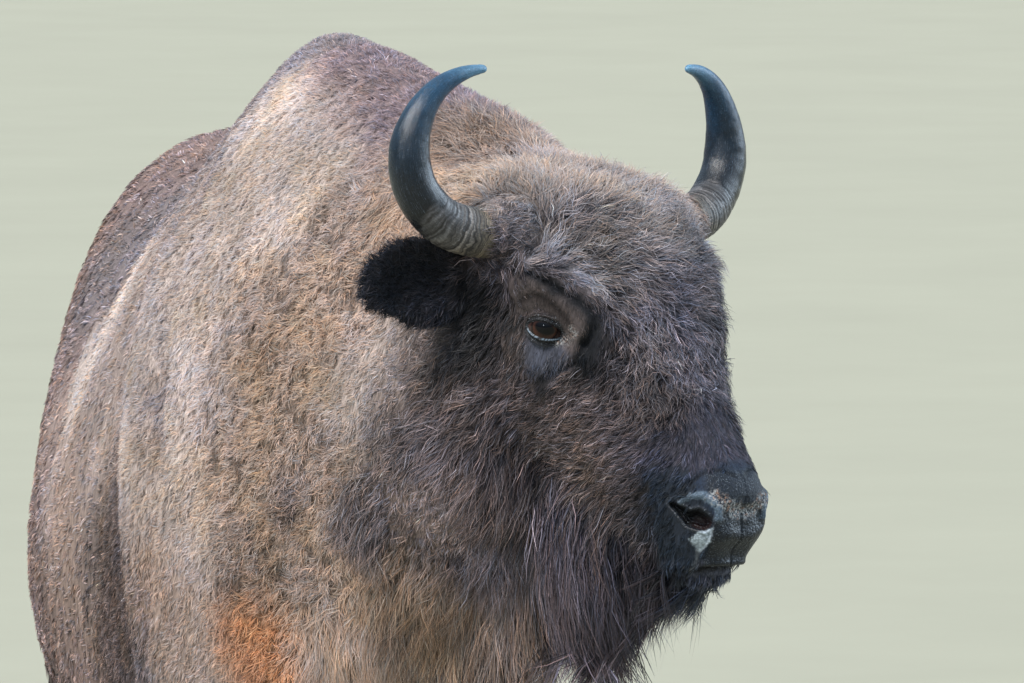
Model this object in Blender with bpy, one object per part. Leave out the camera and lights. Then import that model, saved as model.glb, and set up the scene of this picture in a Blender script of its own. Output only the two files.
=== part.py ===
"""A life-size still model of a wisent, the European bison: a young adult in winter coat, standing square.

The trunk lies along Y and faces -Y, with its left side at +X. The head is raised and turned to the
animal's left. Every solid is drawn to the tips of its coat. The flesh is lofted in overlapping stretches,
fused into one body, and then parted with thin cuts into head, neck, trunk, tail and legs. The hair that
hangs clear of the flesh (beard, throat mane, tail tuft) and the hard parts (eyes, horns, hooves, dewclaws)
are solids of their own.
"""

import math

import bmesh
import bpy
import numpy as np
from mathutils import Matrix, Vector

# Driving dimensions, in metres and degrees.
WITHERS_HEIGHT = 1.70
HEAD_PLACE = Vector((0.225, -0.97, 1.52))  # midway between the horn bases
HEAD_TURN = 36.0  # to the animal's left
HEAD_DIP = 46.7  # of the face line, below the horizontal
HEAD_TILT = 2.0  # right side up
EYE_RADIUS = 0.0225
EYE_PLACE = (0.124, 0.112, -0.048)  # along the face, to the side, above the face line
HORN_ARC_RADII = {"l": 0.0865, "r": 0.0925}  # the left horn is the smaller
HORN_ARC_CENTRE = (0.158, 0.073)  # to the side and above the horn bases
HORN_SET_BACK = 0.007
HORN_LEAN_BACK = 0.025
HORN_ROOT_RADIUS = 0.031
HORN_TIP_RADIUS = 0.0042
HOOF_HEIGHT = 0.071
TUFT_TOP = 0.94
CUT = 0.0006  # the thin gap between neighbouring solids
VOXEL = 0.0105
FINE_TRIANGLES = 8800  # of the whole body, while the head takes its share
FLESH_TRIANGLES = 3700  # once the rest is made lighter

UP = Vector((0, 0, 1))
LEFT = Vector((1, 0, 0))
FORWARD = Vector((0, -1, 0))


# ---------------------------------------------------------------- frames and curves


def head_frame():
    """The head's own matrix: X along the face to the nose, Y to the animal's left, Z out of the forehead."""
    turn, dip, tilt = (math.radians(v) for v in (HEAD_TURN, HEAD_DIP, HEAD_TILT))
    heading = Vector((math.sin(turn), -math.cos(turn), 0))
    side = Vector((math.cos(turn), math.sin(turn), 0))
    face = heading * math.cos(dip) - UP * math.sin(dip)
    brow = heading * math.sin(dip) + UP * math.cos(dip)
    left = side * math.cos(tilt) - brow * math.sin(tilt)
    brow = brow * math.cos(tilt) + side * math.sin(tilt)
    frame = Matrix((face, left, brow)).transposed().to_4x4()
    frame.translation = HEAD_PLACE
    return frame


HEAD = head_frame()


def from_level(forward, side, above):
    """A head point given level: forward along its heading, to its left, and straight up."""
    dip = math.radians(HEAD_DIP)
    along = forward * math.cos(dip) - above * math.sin(dip)
    out = forward * math.sin(dip) + above * math.cos(dip)
    return HEAD @ Vector((along, side, out))


# The plane behind the poll and the jaw, where the head parts from the neck: a point and its forward normal.
NECK_CUT = (from_level(-0.110, 0, 0), from_level(1, 0, 0) - from_level(0, 0, 0))


def smooth_rows(keys, count):
    """The rows of keys as a smooth run of count rows, by a monotone cubic: nothing bulges past its keys."""
    keys = np.array(keys, float)
    step = np.linalg.norm(np.diff(keys[:, :3], axis=0), axis=1)
    at = np.concatenate([[0], np.cumsum(step)])
    slope = np.diff(keys, axis=0) / step[:, None]
    inner = np.zeros_like(slope[1:])
    agree = slope[:-1] * slope[1:] > 0
    near, far = (2 * step[1:] + step[:-1])[:, None], (step[1:] + 2 * step[:-1])[:, None]
    with np.errstate(divide="ignore", invalid="ignore"):
        mean = (near + far) / (near / slope[:-1] + far / slope[1:])
    inner[agree] = mean[agree]
    tangent = np.vstack([slope[:1], inner, slope[-1:]])
    wanted = np.linspace(0, at[-1], count)
    part = np.clip(np.searchsorted(at, wanted, side="right") - 1, 0, len(step) - 1)
    width = step[part][:, None]
    t = (wanted - at[part])[:, None] / width
    low, high = keys[part], keys[part + 1]
    return (
        low * (1 + 2 * t) * (1 - t) ** 2
        + tangent[part] * width * t * (1 - t) ** 2
        + high * t * t * (3 - 2 * t)
        - tangent[part + 1] * width * t * t * (1 - t)
    )


# ---------------------------------------------------------------- meshes


def new_object(name, mesh):
    obj = bpy.data.objects.new(name, mesh)
    bpy.context.scene.collection.objects.link(obj)
    return obj


def tube(name, rings):
    """A closed solid through rings of points, its ends filled."""
    bm = bmesh.new()
    rows = [[bm.verts.new(p) for p in ring] for ring in rings]
    count = len(rows[0])
    for a, b in zip(rows, rows[1:]):
        for i in range(count):
            j = (i + 1) % count
            bm.faces.new((a[i], a[j], b[j], b[i]))
    for row, ring in ((rows[0], rings[0]), (rows[-1], rings[-1])):
        middle = bm.verts.new(sum((Vector(p) for p in ring), Vector()) / count)
        for i in range(count):
            bm.faces.new((row[i], row[(i + 1) % count], middle))
    bmesh.ops.recalc_face_normals(bm, faces=bm.faces)
    mesh = bpy.data.meshes.new(name)
    bm.to_mesh(mesh)
    bm.free()
    return new_object(name, mesh)


def outline(centre, right, up, half_width, above, below, sharp_above, sharp_below, sides):
    """One cross-section: an oval whose upper and lower halves have their own depth and squareness."""
    ring = []
    for i in range(sides):
        angle = 2 * math.pi * i / sides
        across, rise = math.cos(angle), math.sin(angle)
        reach, power = (above, sharp_above) if rise > 0 else (below, sharp_below)
        x = math.copysign(abs(across) ** (2 / power), across) * half_width
        z = math.copysign(abs(rise) ** (2 / power), rise) * reach
        ring.append(Vector(centre) + right * x + up * z)
    return ring


def loft(name, keys, right=LEFT, up=UP, rings=28, sides=40):
    """A solid through cross-sections. A key is (x, y, z, half width, height above the centre, depth below
    it, squareness above, squareness below). With right None, the sections turn with the path."""
    rows = smooth_rows(keys, rings)
    loops = []
    for i, row in enumerate(rows):
        across = right
        if across is None:
            ahead = Vector(rows[min(i + 1, rings - 1)][:3] - rows[max(i - 1, 0)][:3])
            across = ahead.cross(up).normalized()
        loops.append(outline(row[:3], across, up, *row[3:8], sides))
    return tube(name, loops)


def ball(name, centre, radius, segments, rings, stretch=Matrix.Identity(4)):
    """A sphere, or an ellipsoid where stretch is a matrix that turns and scales it."""
    bm = bmesh.new()
    bmesh.ops.create_uvsphere(bm, u_segments=segments, v_segments=rings, radius=radius)
    bm.transform(Matrix.Translation(centre) @ stretch)
    mesh = bpy.data.meshes.new(name)
    bm.to_mesh(mesh)
    bm.free()
    return new_object(name, mesh)


def ellipsoid(name, centre, radii, lean=0.0):
    """An ellipsoid that leans by some degrees about X."""
    shape = Matrix.Rotation(math.radians(lean), 4, "X") @ Matrix.Diagonal((*radii, 1))
    return ball(name, Vector(centre), 1.0, 28, 20, shape)


def hull(name, points):
    """The convex solid round some points."""
    bm = bmesh.new()
    for point in points:
        bm.verts.new(point)
    bmesh.ops.convex_hull(bm, input=bm.verts)
    bmesh.ops.recalc_face_normals(bm, faces=bm.faces)
    mesh = bpy.data.meshes.new(name)
    bm.to_mesh(mesh)
    bm.free()
    return new_object(name, mesh)


def with_modifiers(obj):
    """The same object, its modifiers applied."""
    graph = bpy.context.evaluated_depsgraph_get()
    graph.update()
    mesh = bpy.data.meshes.new_from_object(obj.evaluated_get(graph))
    obj.modifiers.clear()
    obj.data = mesh
    return obj


def discard(*objects):
    for obj in objects:
        bpy.data.objects.remove(obj)


def copy_of(obj, name, swell=0.0):
    """A copy of obj, its surface moved out by swell."""
    twin = new_object(name, obj.data.copy())
    if swell:
        normals = [v.normal.copy() for v in twin.data.vertices]
        for vertex, normal in zip(twin.data.vertices, normals):
            vertex.co += normal * swell
    return twin


def combine(obj, other, operation):
    """Applies one exact Boolean to obj."""
    step = obj.modifiers.new("combine", "BOOLEAN")
    step.operation = operation
    step.solver = "EXACT"
    step.object = other
    return with_modifiers(obj)


def carve(obj, other):
    """Takes other, and the thin gap round it, out of obj."""
    cutter = copy_of(other, "cutter", CUT)
    combine(obj, cutter, "DIFFERENCE")
    discard(cutter)
    return keep_largest(obj)


def keep_largest(obj):
    """Drops the loose bits that a cut leaves, so that one body stays."""
    bm = bmesh.new()
    bm.from_mesh(obj.data)
    shells, seen = [], set()
    for start in bm.verts:
        if start in seen:
            continue
        shell, edge = {start}, [start]
        while edge:
            for link in edge.pop().link_edges:
                for vertex in link.verts:
                    if vertex not in shell:
                        shell.add(vertex)
                        edge.append(vertex)
        seen |= shell
        shells.append(shell)
    shells.sort(key=len)
    bmesh.ops.delete(bm, geom=[v for shell in shells[:-1] for v in shell], context="VERTS")
    bm.to_mesh(obj.data)
    bm.free()
    return obj


def slice_off(obj, point, normal):
    """Drops what lies beyond the plane, and closes the cut."""
    bm = bmesh.new()
    bm.from_mesh(obj.data)
    everything = bm.verts[:] + bm.edges[:] + bm.faces[:]
    bmesh.ops.bisect_plane(bm, geom=everything, plane_co=point, plane_no=normal, clear_outer=True)
    rim = [e for e in bm.edges if e.is_boundary]
    caps = bmesh.ops.holes_fill(bm, edges=rim, sides=0)["faces"]
    bmesh.ops.triangulate(bm, faces=caps, ngon_method="EAR_CLIP")
    bmesh.ops.recalc_face_normals(bm, faces=bm.faces)
    bm.to_mesh(obj.data)
    bm.free()
    return obj


def split(obj, beyond_name, point, normal):
    """Parts obj at a plane with a thin cut. Returns the new object that lies beyond it."""
    point, normal = Vector(point), Vector(normal).normalized()
    beyond = copy_of(obj, beyond_name)
    slice_off(obj, point - normal * CUT / 2, normal)
    slice_off(beyond, point + normal * CUT / 2, -normal)
    return beyond


def split_by(obj, piece_name, cutter):
    """Parts obj at the walls of a convex cutter. Returns the new object that lies inside it."""
    piece = copy_of(obj, piece_name)
    combine(piece, cutter, "INTERSECT")
    carve(obj, cutter)
    discard(cutter)
    return piece


# ---------------------------------------------------------------- the flesh


def trunk_stretches():
    """Chest, hump, barrel and rump as one loft, with the shoulder and haunch muscles laid on."""

    def station(y, top, widest, bottom, half_width, sharp_above, sharp_below=2.1):
        return (0, y, widest, half_width, top - widest, widest - bottom, sharp_above, sharp_below)

    h = WITHERS_HEIGHT
    made = [
        loft(
            "trunk",
            [
                station(-0.73, h - 0.34, 1.10, 0.88, 0.13, 2.0),
                station(-0.64, h - 0.14, 1.09, 0.77, 0.19, 1.9),
                station(-0.50, h - 0.02, 1.07, 0.70, 0.235, 1.75),
                station(-0.38, h, 1.06, 0.675, 0.25, 1.7),
                station(-0.18, h - 0.035, 1.04, 0.665, 0.275, 1.6),
                station(0.08, h - 0.115, 1.02, 0.655, 0.310, 1.6),
                station(0.32, h - 0.175, 1.01, 0.665, 0.314, 1.7),
                station(0.57, h - 0.195, 1.03, 0.72, 0.290, 1.95),
                station(0.78, h - 0.19, 1.08, 0.80, 0.250, 2.2),
                station(0.93, h - 0.235, 1.10, 0.84, 0.230, 2.2),
                station(1.03, h - 0.31, 1.11, 0.88, 0.175, 2.1),
                station(1.08, h - 0.40, 1.11, 0.95, 0.11, 2.0),
            ],
            rings=64,
            sides=56,
        )
    ]
    for side in (-1, 1):
        made.append(ellipsoid("shoulder", (0.145 * side, -0.43, 1.14), (0.125, 0.185, 0.36), -14))
        made.append(ellipsoid("upper_arm", (0.155 * side, -0.44, 0.93), (0.095, 0.15, 0.20), 18))
        made.append(ellipsoid("haunch", (0.135 * side, 0.80, 1.06), (0.118, 0.235, 0.33), 16))
    return made


def neck_stretch():
    """The deep neck, which carries its crest level from the hump and bends to the left."""
    crest = WITHERS_HEIGHT - 0.01

    def station(x, y, middle, top, bottom, half_width, sharp=2.0):
        return (x, y, middle, half_width, top - middle, middle - bottom, sharp, 2.2)

    return loft(
        "neck",
        [
            station(0.0, -0.36, 1.20, crest, 0.78, 0.225, 1.8),
            station(0.02, -0.52, 1.22, crest, 0.80, 0.225, 1.85),
            station(0.065, -0.66, 1.25, crest - 0.025, 0.86, 0.215, 1.85),
            station(0.12, -0.78, 1.28, crest - 0.060, 0.95, 0.20),
            station(0.17, -0.87, 1.31, crest - 0.095, 1.04, 0.182),
            station(0.225, -0.955, 1.34, crest - 0.138, 1.13, 0.165, 2.1),
        ],
        right=None,
        rings=30,
        sides=44,
    )


def head_stretch():
    """The head along its face line, from the back of the skull to the upper lip."""
    face, left, brow = (HEAD.col[i].to_3d() for i in range(3))

    def station(along, top, bottom, half_width, widest, sharp_above=2.2, sharp_below=2.1):
        centre = HEAD @ Vector((along, 0, widest))
        return (*centre, half_width, top - widest, widest - bottom, sharp_above, sharp_below)

    return loft(
        "head",
        [
            station(-0.150, -0.075, -0.190, 0.100, -0.12, 2.0),
            station(-0.115, -0.030, -0.220, 0.132, -0.10, 2.0),
            station(-0.070, 0.016, -0.240, 0.147, -0.07, 2.1),
            station(-0.010, 0.055, -0.250, 0.153, -0.05, 2.6),
            station(0.050, 0.070, -0.252, 0.149, -0.05, 2.6),
            station(0.105, 0.066, -0.246, 0.140, -0.05, 2.5),
            station(0.160, 0.052, -0.234, 0.126, -0.06, 2.5),
            station(0.212, 0.032, -0.216, 0.106, -0.07, 2.4),
            station(0.265, 0.014, -0.196, 0.089, -0.075, 2.3),
            station(0.316, 0.001, -0.178, 0.073, -0.075, 2.4, 2.3),
            station(0.360, -0.005, -0.162, 0.064, -0.074, 2.7, 2.4),
            station(0.392, -0.009, -0.152, 0.060, -0.076, 2.8, 2.6),
            station(0.416, -0.018, -0.146, 0.053, -0.078, 2.8, 2.7),
            station(0.433, -0.034, -0.134, 0.044, -0.082, 2.6, 2.5),
            station(0.444, -0.052, -0.122, 0.033, -0.086, 2.4, 2.4),
            station(0.450, -0.070, -0.106, 0.016, -0.088, 2.2, 2.2),
        ],
        right=left,
        up=brow,
        rings=56,
        sides=48,
    )


def chin():
    """The lower lip, which hangs level under the muzzle."""
    ahead = from_level(1, 0, 0) - HEAD_PLACE
    left = HEAD.col[1].to_3d()
    level = Matrix((ahead, left, ahead.cross(left))).transposed().to_4x4()
    shape = level @ Matrix.Diagonal((0.060, 0.047, 0.033, 1))
    return ball("chin", from_level(0.172, 0, -0.397), 1.0, 28, 20, shape)


def leg(name, side, keys, stride):
    """A leg of level sections. A key is (x, y, z, half width, half length); stride moves the foot forward."""
    top = keys[0][2]
    rows = []
    for x, y, z, half_width, half_length in keys:
        ahead = stride * (1 - z / top)
        rows.append((x * side, y - ahead, z, half_width, half_length, half_length, 2.1, 2.1))
    return loft(name, rows, right=LEFT, up=FORWARD, rings=44, sides=24)


FORELEG = [
    (0.150, -0.430, 1.000, 0.088, 0.150),
    (0.156, -0.400, 0.860, 0.084, 0.128),
    (0.154, -0.395, 0.760, 0.074, 0.108),
    (0.152, -0.410, 0.640, 0.061, 0.080),
    (0.150, -0.425, 0.540, 0.052, 0.063),
    (0.149, -0.433, 0.465, 0.053, 0.061),
    (0.148, -0.430, 0.395, 0.042, 0.047),
    (0.147, -0.428, 0.280, 0.035, 0.041),
    (0.147, -0.436, 0.180, 0.043, 0.049),
    (0.147, -0.458, 0.115, 0.041, 0.044),
    (0.147, -0.476, 0.075, 0.050, 0.054),
    (0.147, -0.480, 0.045, 0.050, 0.054),
]
HIND_LEG = [
    (0.135, 0.800, 1.120, 0.110, 0.220),
    (0.155, 0.775, 0.950, 0.108, 0.208),
    (0.162, 0.765, 0.820, 0.096, 0.160),
    (0.160, 0.825, 0.690, 0.074, 0.112),
    (0.155, 0.895, 0.590, 0.056, 0.082),
    (0.150, 0.945, 0.515, 0.047, 0.070),
    (0.149, 0.948, 0.430, 0.040, 0.053),
    (0.148, 0.930, 0.300, 0.036, 0.043),
    (0.148, 0.912, 0.180, 0.043, 0.049),
    (0.148, 0.885, 0.115, 0.041, 0.044),
    (0.148, 0.866, 0.075, 0.050, 0.054),
    (0.148, 0.862, 0.045, 0.050, 0.054),
]
# Each leg: its keys, the side it is on, and how far the foot stands ahead.
LEGS = {
    "foreleg_l": (FORELEG, 1, 0.055),
    "foreleg_r": (FORELEG, -1, -0.025),
    "hind_leg_l": (HIND_LEG, 1, -0.030),
    "hind_leg_r": (HIND_LEG, -1, 0.060),
}


# Where a leg parts from the trunk: inner side, front, back and height of the walls; then the front and back
# of the slanted roof, and its height at the inner and at the outer side.
LEG_CUTS = {
    "fore": (0.020, -0.63, -0.235, 0.70, -0.55, -0.33, 0.74, 1.04),
    "hind": (0.012, 0.50, 1.099, 0.74, 0.64, 1.060, 0.80, 1.14),
}


def leg_cutter(side, inner, front, back, flank, roof_front, roof_back, roof_inner, roof_outer):
    outer = 0.45
    corners = [(x, y, z) for x in (inner, outer) for y in (front, back) for z in (-0.1, flank)]
    corners += [(inner, y, roof_inner) for y in (roof_front, roof_back)]
    corners += [(outer, y, roof_outer) for y in (roof_front, roof_back)]
    return hull("cutter", [(x * side, y, z) for x, y, z in corners])


def tail_stretch():
    keys = [
        (0, 1.000, 1.365, 0.045, 0.045, 0.045, 2, 2),
        (0, 1.085, 1.355, 0.034, 0.034, 0.034, 2, 2),
        (0, 1.128, 1.300, 0.027, 0.027, 0.027, 2, 2),
        (0.004, 1.146, 1.200, 0.023, 0.023, 0.023, 2, 2),
        (0.010, 1.150, 1.050, 0.021, 0.021, 0.021, 2, 2),
        (0.014, 1.148, 0.880, 0.022, 0.022, 0.022, 2, 2),
    ]
    rows = smooth_rows(keys, 26)
    loops = []
    for i, row in enumerate(rows):
        along = Vector(rows[min(i + 1, len(rows) - 1)][:3] - rows[max(i - 1, 0)][:3])
        loops.append(outline(row[:3], LEFT, LEFT.cross(along).normalized(), *row[3:8], 16))
    return tube("tail", loops)


def fused(name, stretches):
    """One skin round overlapping solids, with the joints between them smoothed."""
    bm = bmesh.new()
    for obj in stretches:
        bm.from_mesh(obj.data)
    mesh = bpy.data.meshes.new(name)
    bm.to_mesh(mesh)
    bm.free()
    discard(*stretches)
    whole = new_object(name, mesh)
    remesh = whole.modifiers.new("remesh", "REMESH")
    remesh.mode = "VOXEL"
    remesh.voxel_size = VOXEL
    smooth = whole.modifiers.new("smooth", "SMOOTH")
    smooth.factor = 0.5
    smooth.iterations = 14
    return with_modifiers(whole)


def press(obj, centre, reach, move):
    """Sculpts: moves the surface near centre by up to move, within three reaches along the head's axes."""
    axes = np.array([HEAD.col[i].to_3d() for i in range(3)])
    count = len(obj.data.vertices)
    flat = np.empty(count * 3)
    obj.data.vertices.foreach_get("co", flat)
    places = flat.reshape(-1, 3)
    away = (places - np.array(centre)) @ axes.T / np.array(reach)
    strength = np.exp(-2 * (away**2).sum(axis=1))
    places += strength[:, None] * np.array(move)
    obj.data.vertices.foreach_set("co", places.ravel())
    obj.data.update()


def sculpt_face(whole):
    """Eye hollows under a brow of fur, cheek and jaw, nostrils, the lower lip and the line of the mouth."""
    eye_along, _, eye_out = EYE_PLACE
    # Each: where, how far it reaches along the head's axes, and how far it moves, for the left side.
    both_sides = [
        ((eye_along - 0.038, 0.135, eye_out + 0.043), (0.050, 0.050, 0.030), (0, 0.013, 0.012)),
        ((eye_along + 0.006, 0.140, eye_out), (0.052, 0.080, 0.042), (0.004, -0.017, -0.004)),
        ((0.130, 0.130, -0.150), (0.100, 0.080, 0.070), (0, 0.010, 0)),
        ((0.400, 0.058, -0.050), (0.030, 0.030, 0.022), (0, 0.008, 0)),
        ((0.400, 0.060, -0.054), (0.016, 0.030, 0.010), (-0.004, -0.013, 0)),
    ]
    mouth = from_level(0.245, 0, -0.388)
    press(whole, mouth, (0.012, 0.060, 0.012), (HEAD_PLACE - from_level(1, 0, 0)) * 0.010)
    for side in (-1, 1):
        mirror = Matrix.Diagonal((1, side, 1))
        for place, reach, move in both_sides:
            press(whole, HEAD @ (mirror @ Vector(place)), reach, HEAD.to_3x3() @ mirror @ Vector(move))


def is_head(point):
    """Whether a point lies ahead of the neck cut."""
    return (point - NECK_CUT[0]).dot(NECK_CUT[1]) > 0


def lighter(obj, triangles, kept=None):
    """Fewer triangles, most of them where the surface bends, and as they are where kept says so."""
    count = sum(len(p.vertices) - 2 for p in obj.data.polygons)
    step = obj.modifiers.new("lighter", "DECIMATE")
    step.ratio = triangles / count
    step.use_collapse_triangulate = True
    if kept:
        free = obj.vertex_groups.new(name="free")
        free.add([v.index for v in obj.data.vertices if not kept(v.co)], 1.0, "REPLACE")
        step.vertex_group = free.name
    obj = with_modifiers(obj)
    obj.vertex_groups.clear()
    return obj


def flesh():
    """The whole body fused, sculpted, and parted into its named pieces."""
    stretches = trunk_stretches() + [neck_stretch(), head_stretch(), chin(), tail_stretch()]
    stretches += [leg(name, side, keys, stride) for name, (keys, side, stride) in LEGS.items()]
    trunk = fused("trunk", stretches)
    sculpt_face(trunk)
    lighter(trunk, FINE_TRIANGLES)
    lighter(trunk, FLESH_TRIANGLES, kept=is_head)
    slice_off(trunk, (0, 0, HOOF_HEIGHT), -UP)

    parts = {"trunk": trunk, "beard": carve(beard(), trunk)}
    parts["throat_mane"] = carve(carve(throat_mane(), trunk), parts["beard"])
    parts["head"] = split(trunk, "head", *NECK_CUT)
    parts["neck"] = split(trunk, "neck", (0, -0.56, 1.40), (0.06, -0.97, 0.22))
    parts["tail"] = split(trunk, "tail", (0, 1.104, 1.2), (0, 1, 0))
    for name, (keys, side, _) in LEGS.items():
        parts[name] = split_by(trunk, name, leg_cutter(side, *LEG_CUTS[name[:4]]))
    return parts


# ---------------------------------------------------------------- ears, eyes, horns


def ear(name, side):
    """A broad, rounded, hair-filled ear held level, its opening forward."""
    base = from_level(-0.050, 0.118 * side, -0.072)
    tip = from_level(-0.088, 0.275 * side, -0.086)
    along = (tip - base).normalized()
    thick = along.cross(UP).normalized()
    broad = thick.cross(along)
    droop, rings, sides = 0.010, 9, 14
    loops = []
    for t in np.linspace(0, 1, rings):
        belly = math.sin(math.pi * (0.10 + 0.87 * t) ** 1.15)
        half_breadth = 0.010 + 0.049 * belly**0.6
        half_thick = 0.006 + 0.017 * belly
        centre = base.lerp(tip, t) - UP * droop * t * t
        loops.append(outline(centre, broad, thick, half_breadth, half_thick, half_thick, 2, 2, sides))
    return tube(name, loops)


def eye(name, side):
    along, across, out = EYE_PLACE
    return ball(name, HEAD @ Vector((along, across * side, out)), EYE_RADIUS, 12, 8)


def horn(name, side):
    """A horn that leaves the skull sideways and then sweeps half a circle up and in, its root in the head."""
    root_side, steps, sides = 0.098, 18, 12
    turn_side, rise = HORN_ARC_CENTRE
    radius = HORN_ARC_RADII[name[-1]]
    straight = turn_side - root_side
    run = np.linspace(0, straight + math.pi * radius, steps + 1)
    angle = np.clip((run - straight) / radius, 0, None) - math.pi / 2
    out = np.minimum(root_side + run, turn_side) + radius * np.cos(angle)
    back = HORN_SET_BACK + HORN_LEAN_BACK * np.cos(angle)
    centres = [
        from_level(-b, o * side, rise + radius * math.sin(a)) for a, o, b in zip(angle, out, back)
    ]
    to_tip = 1 - np.clip(run - straight * 0.6, 0, None) / (run[-1] - straight * 0.6)
    thickness = np.maximum(HORN_ROOT_RADIUS * to_tip**0.45, HORN_TIP_RADIUS)
    facing = HEAD.to_3x3() @ Vector((0.55, 0, 0.83))
    loops = []
    for i, (centre, half) in enumerate(zip(centres, thickness)):
        along = centres[min(i + 1, steps)] - centres[max(i - 1, 0)]
        across = along.cross(facing).normalized()
        loops.append(outline(centre, across, across.cross(along).normalized(), half, half, half, 2, 2, sides))
    return tube(name, loops)


# ---------------------------------------------------------------- hanging hair


def beard():
    """The beard: a wedge of long hair from the lower lip to the throat, its tip under the jaw."""
    heading = Vector((math.sin(math.radians(HEAD_TURN)), -math.cos(math.radians(HEAD_TURN)), 0))
    right = heading.cross(UP)
    # Level sections: height against the horn bases, front and back along the heading, half width at the
    # widest, and where that is.
    sections = [
        (-0.290, 0.190, -0.060, 0.070, 0.045),
        (-0.345, 0.212, -0.070, 0.082, 0.040),
        (-0.400, 0.206, -0.070, 0.080, 0.035),
        (-0.440, 0.162, -0.070, 0.070, 0.025),
        (-0.480, 0.112, -0.068, 0.056, 0.015),
        (-0.520, 0.078, -0.050, 0.038, 0.010),
        (-0.560, 0.045, -0.010, 0.014, 0.015),
    ]
    keys = []
    for height, front, back, half_width, widest in sections:
        centre = HEAD_PLACE + heading * widest + UP * height
        keys.append((*centre, half_width, front - widest, widest - back, 1.7, 2.0))
    return loft("beard", keys, right=right, up=heading, rings=9, sides=14)


def throat_mane():
    """The fringe of long hair that hangs along the throat and down the brisket to the forelegs."""

    def station(x, y, throat, half_width, drop):
        return (x, y, throat, half_width, 0.06, drop, 2.0, 1.8)

    keys = [
        station(0.205, -0.945, 1.150, 0.045, 0.120),
        station(0.165, -0.870, 1.070, 0.062, 0.170),
        station(0.105, -0.780, 0.975, 0.074, 0.195),
        station(0.045, -0.680, 0.885, 0.080, 0.195),
        station(0.010, -0.570, 0.815, 0.078, 0.180),
        station(0.000, -0.460, 0.745, 0.060, 0.125),
        station(0.000, -0.370, 0.705, 0.038, 0.060),
    ]
    return loft("throat_mane", keys, right=None, rings=12, sides=14)


def tail_tuft():
    """The long brush at the end of the tail, hung from a cut across it."""
    keys = [
        (0.013, 1.1485, TUFT_TOP - CUT, 0.026, 0.026, 0.026, 2, 2),
        (0.014, 1.150, 0.860, 0.040, 0.036, 0.036, 2, 2),
        (0.016, 1.150, 0.760, 0.046, 0.042, 0.042, 2, 2),
        (0.018, 1.146, 0.660, 0.038, 0.036, 0.036, 2, 2),
        (0.020, 1.140, 0.575, 0.010, 0.010, 0.010, 2, 2),
    ]
    return loft("tail_tuft", keys, right=LEFT, up=FORWARD, rings=8, sides=10)


# ---------------------------------------------------------------- feet


def claw(name, foot, way):
    """One half of a cloven hoof, on the side that way says: flat below, its wall sloping back, its inner wall
    straight."""
    half_gap, width, length, set_ahead, sides = 0.0030, 0.047, 0.112, 0.012, 12
    loops = []
    # Each ring: its height, how far back the sloping wall has come, and its share of the size at the floor.
    for height, slant, share in ((0, 0, 1.0), (0.004, 0.002, 1.03), (HOOF_HEIGHT - CUT, 0.030, 0.86)):
        ring = []
        for i in range(sides):
            ahead, across = math.cos(2 * math.pi * i / sides), math.sin(2 * math.pi * i / sides)
            bulge = abs(across) ** 0.75
            toe_taper = 1 - 0.30 * max(ahead, 0) ** 2
            x = half_gap + (width * share * bulge * toe_taper if across > 0 else 0.006 * (1 - bulge))
            y = slant - set_ahead - ahead * length / 2 * share
            ring.append(Vector((foot.x + way * x, foot.y + y, height)))
        loops.append(ring)
    return tube(name, loops)


def dewclaw(name, foot, way):
    """A small blunt claw behind the fetlock."""
    root = Vector((foot.x + way * 0.022, foot.y + 0.050, 0.142))
    tip = root + Vector((way * 0.010, 0.040, -0.036))
    axis = tip - root
    across = axis.cross(UP).normalized()
    over = across.cross(axis).normalized()
    loops = [
        outline(root + axis * t, across, over, 0.015 * wide, 0.011 * wide, 0.011 * wide, 2, 2, 6)
        for t, wide in ((0, 1.0), (0.7, 0.85), (1, 0.3))
    ]
    return tube(name, loops)


def foot_place(name):
    keys, side, stride = LEGS[name]
    x, y, z = keys[-2][:3]
    return Vector((x * side, y - stride * (1 - z / keys[0][2]), 0))


# ---------------------------------------------------------------- finish

# Colour, roughness: every surface here is without metal.
MATERIALS = {
    "brown_coat": ((0.125, 0.078, 0.052), 0.9),
    "head_coat": ((0.060, 0.042, 0.034), 0.9),
    "mane_hair": ((0.045, 0.030, 0.024), 0.85),
    "leg_coat": ((0.055, 0.038, 0.030), 0.9),
    "horn": ((0.060, 0.075, 0.085), 0.35),
    "hoof": ((0.030, 0.026, 0.024), 0.5),
    "eye": ((0.035, 0.014, 0.008), 0.08),
}


# What each material covers, by how the names start. A later row wins: the tail's tuft is mane hair.
COVERS = {
    "brown_coat": ("neck", "trunk", "tail"),
    "head_coat": ("head", "ear"),
    "mane_hair": ("beard", "throat", "tail_tuft"),
    "leg_coat": ("foreleg", "hind_leg"),
    "horn": ("horn",),
    "hoof": ("claw", "dewclaw"),
    "eye": ("eye",),
}


def paint(parts):
    for slot, (colour, roughness) in MATERIALS.items():
        material = bpy.data.materials.new(slot)
        material.use_nodes = True
        shader = material.node_tree.nodes["Principled BSDF"]
        shader.inputs["Base Color"].default_value = (*colour, 1)
        shader.inputs["Roughness"].default_value = roughness
        shader.inputs["Metallic"].default_value = 0.0
        for name, obj in parts.items():
            if name.startswith(COVERS[slot]):
                obj.data.materials.clear()
                obj.data.materials.append(material)
                obj.data.shade_smooth()


def centre_on_floor(parts):
    """Puts the origin on the floor, under the middle of the whole animal."""
    corners = np.array([v.co for obj in parts.values() for v in obj.data.vertices])
    middle = (corners.min(axis=0) + corners.max(axis=0)) / 2
    shift = Matrix.Translation((-middle[0], -middle[1], 0))
    for obj in parts.values():
        obj.data.transform(shift)


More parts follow.
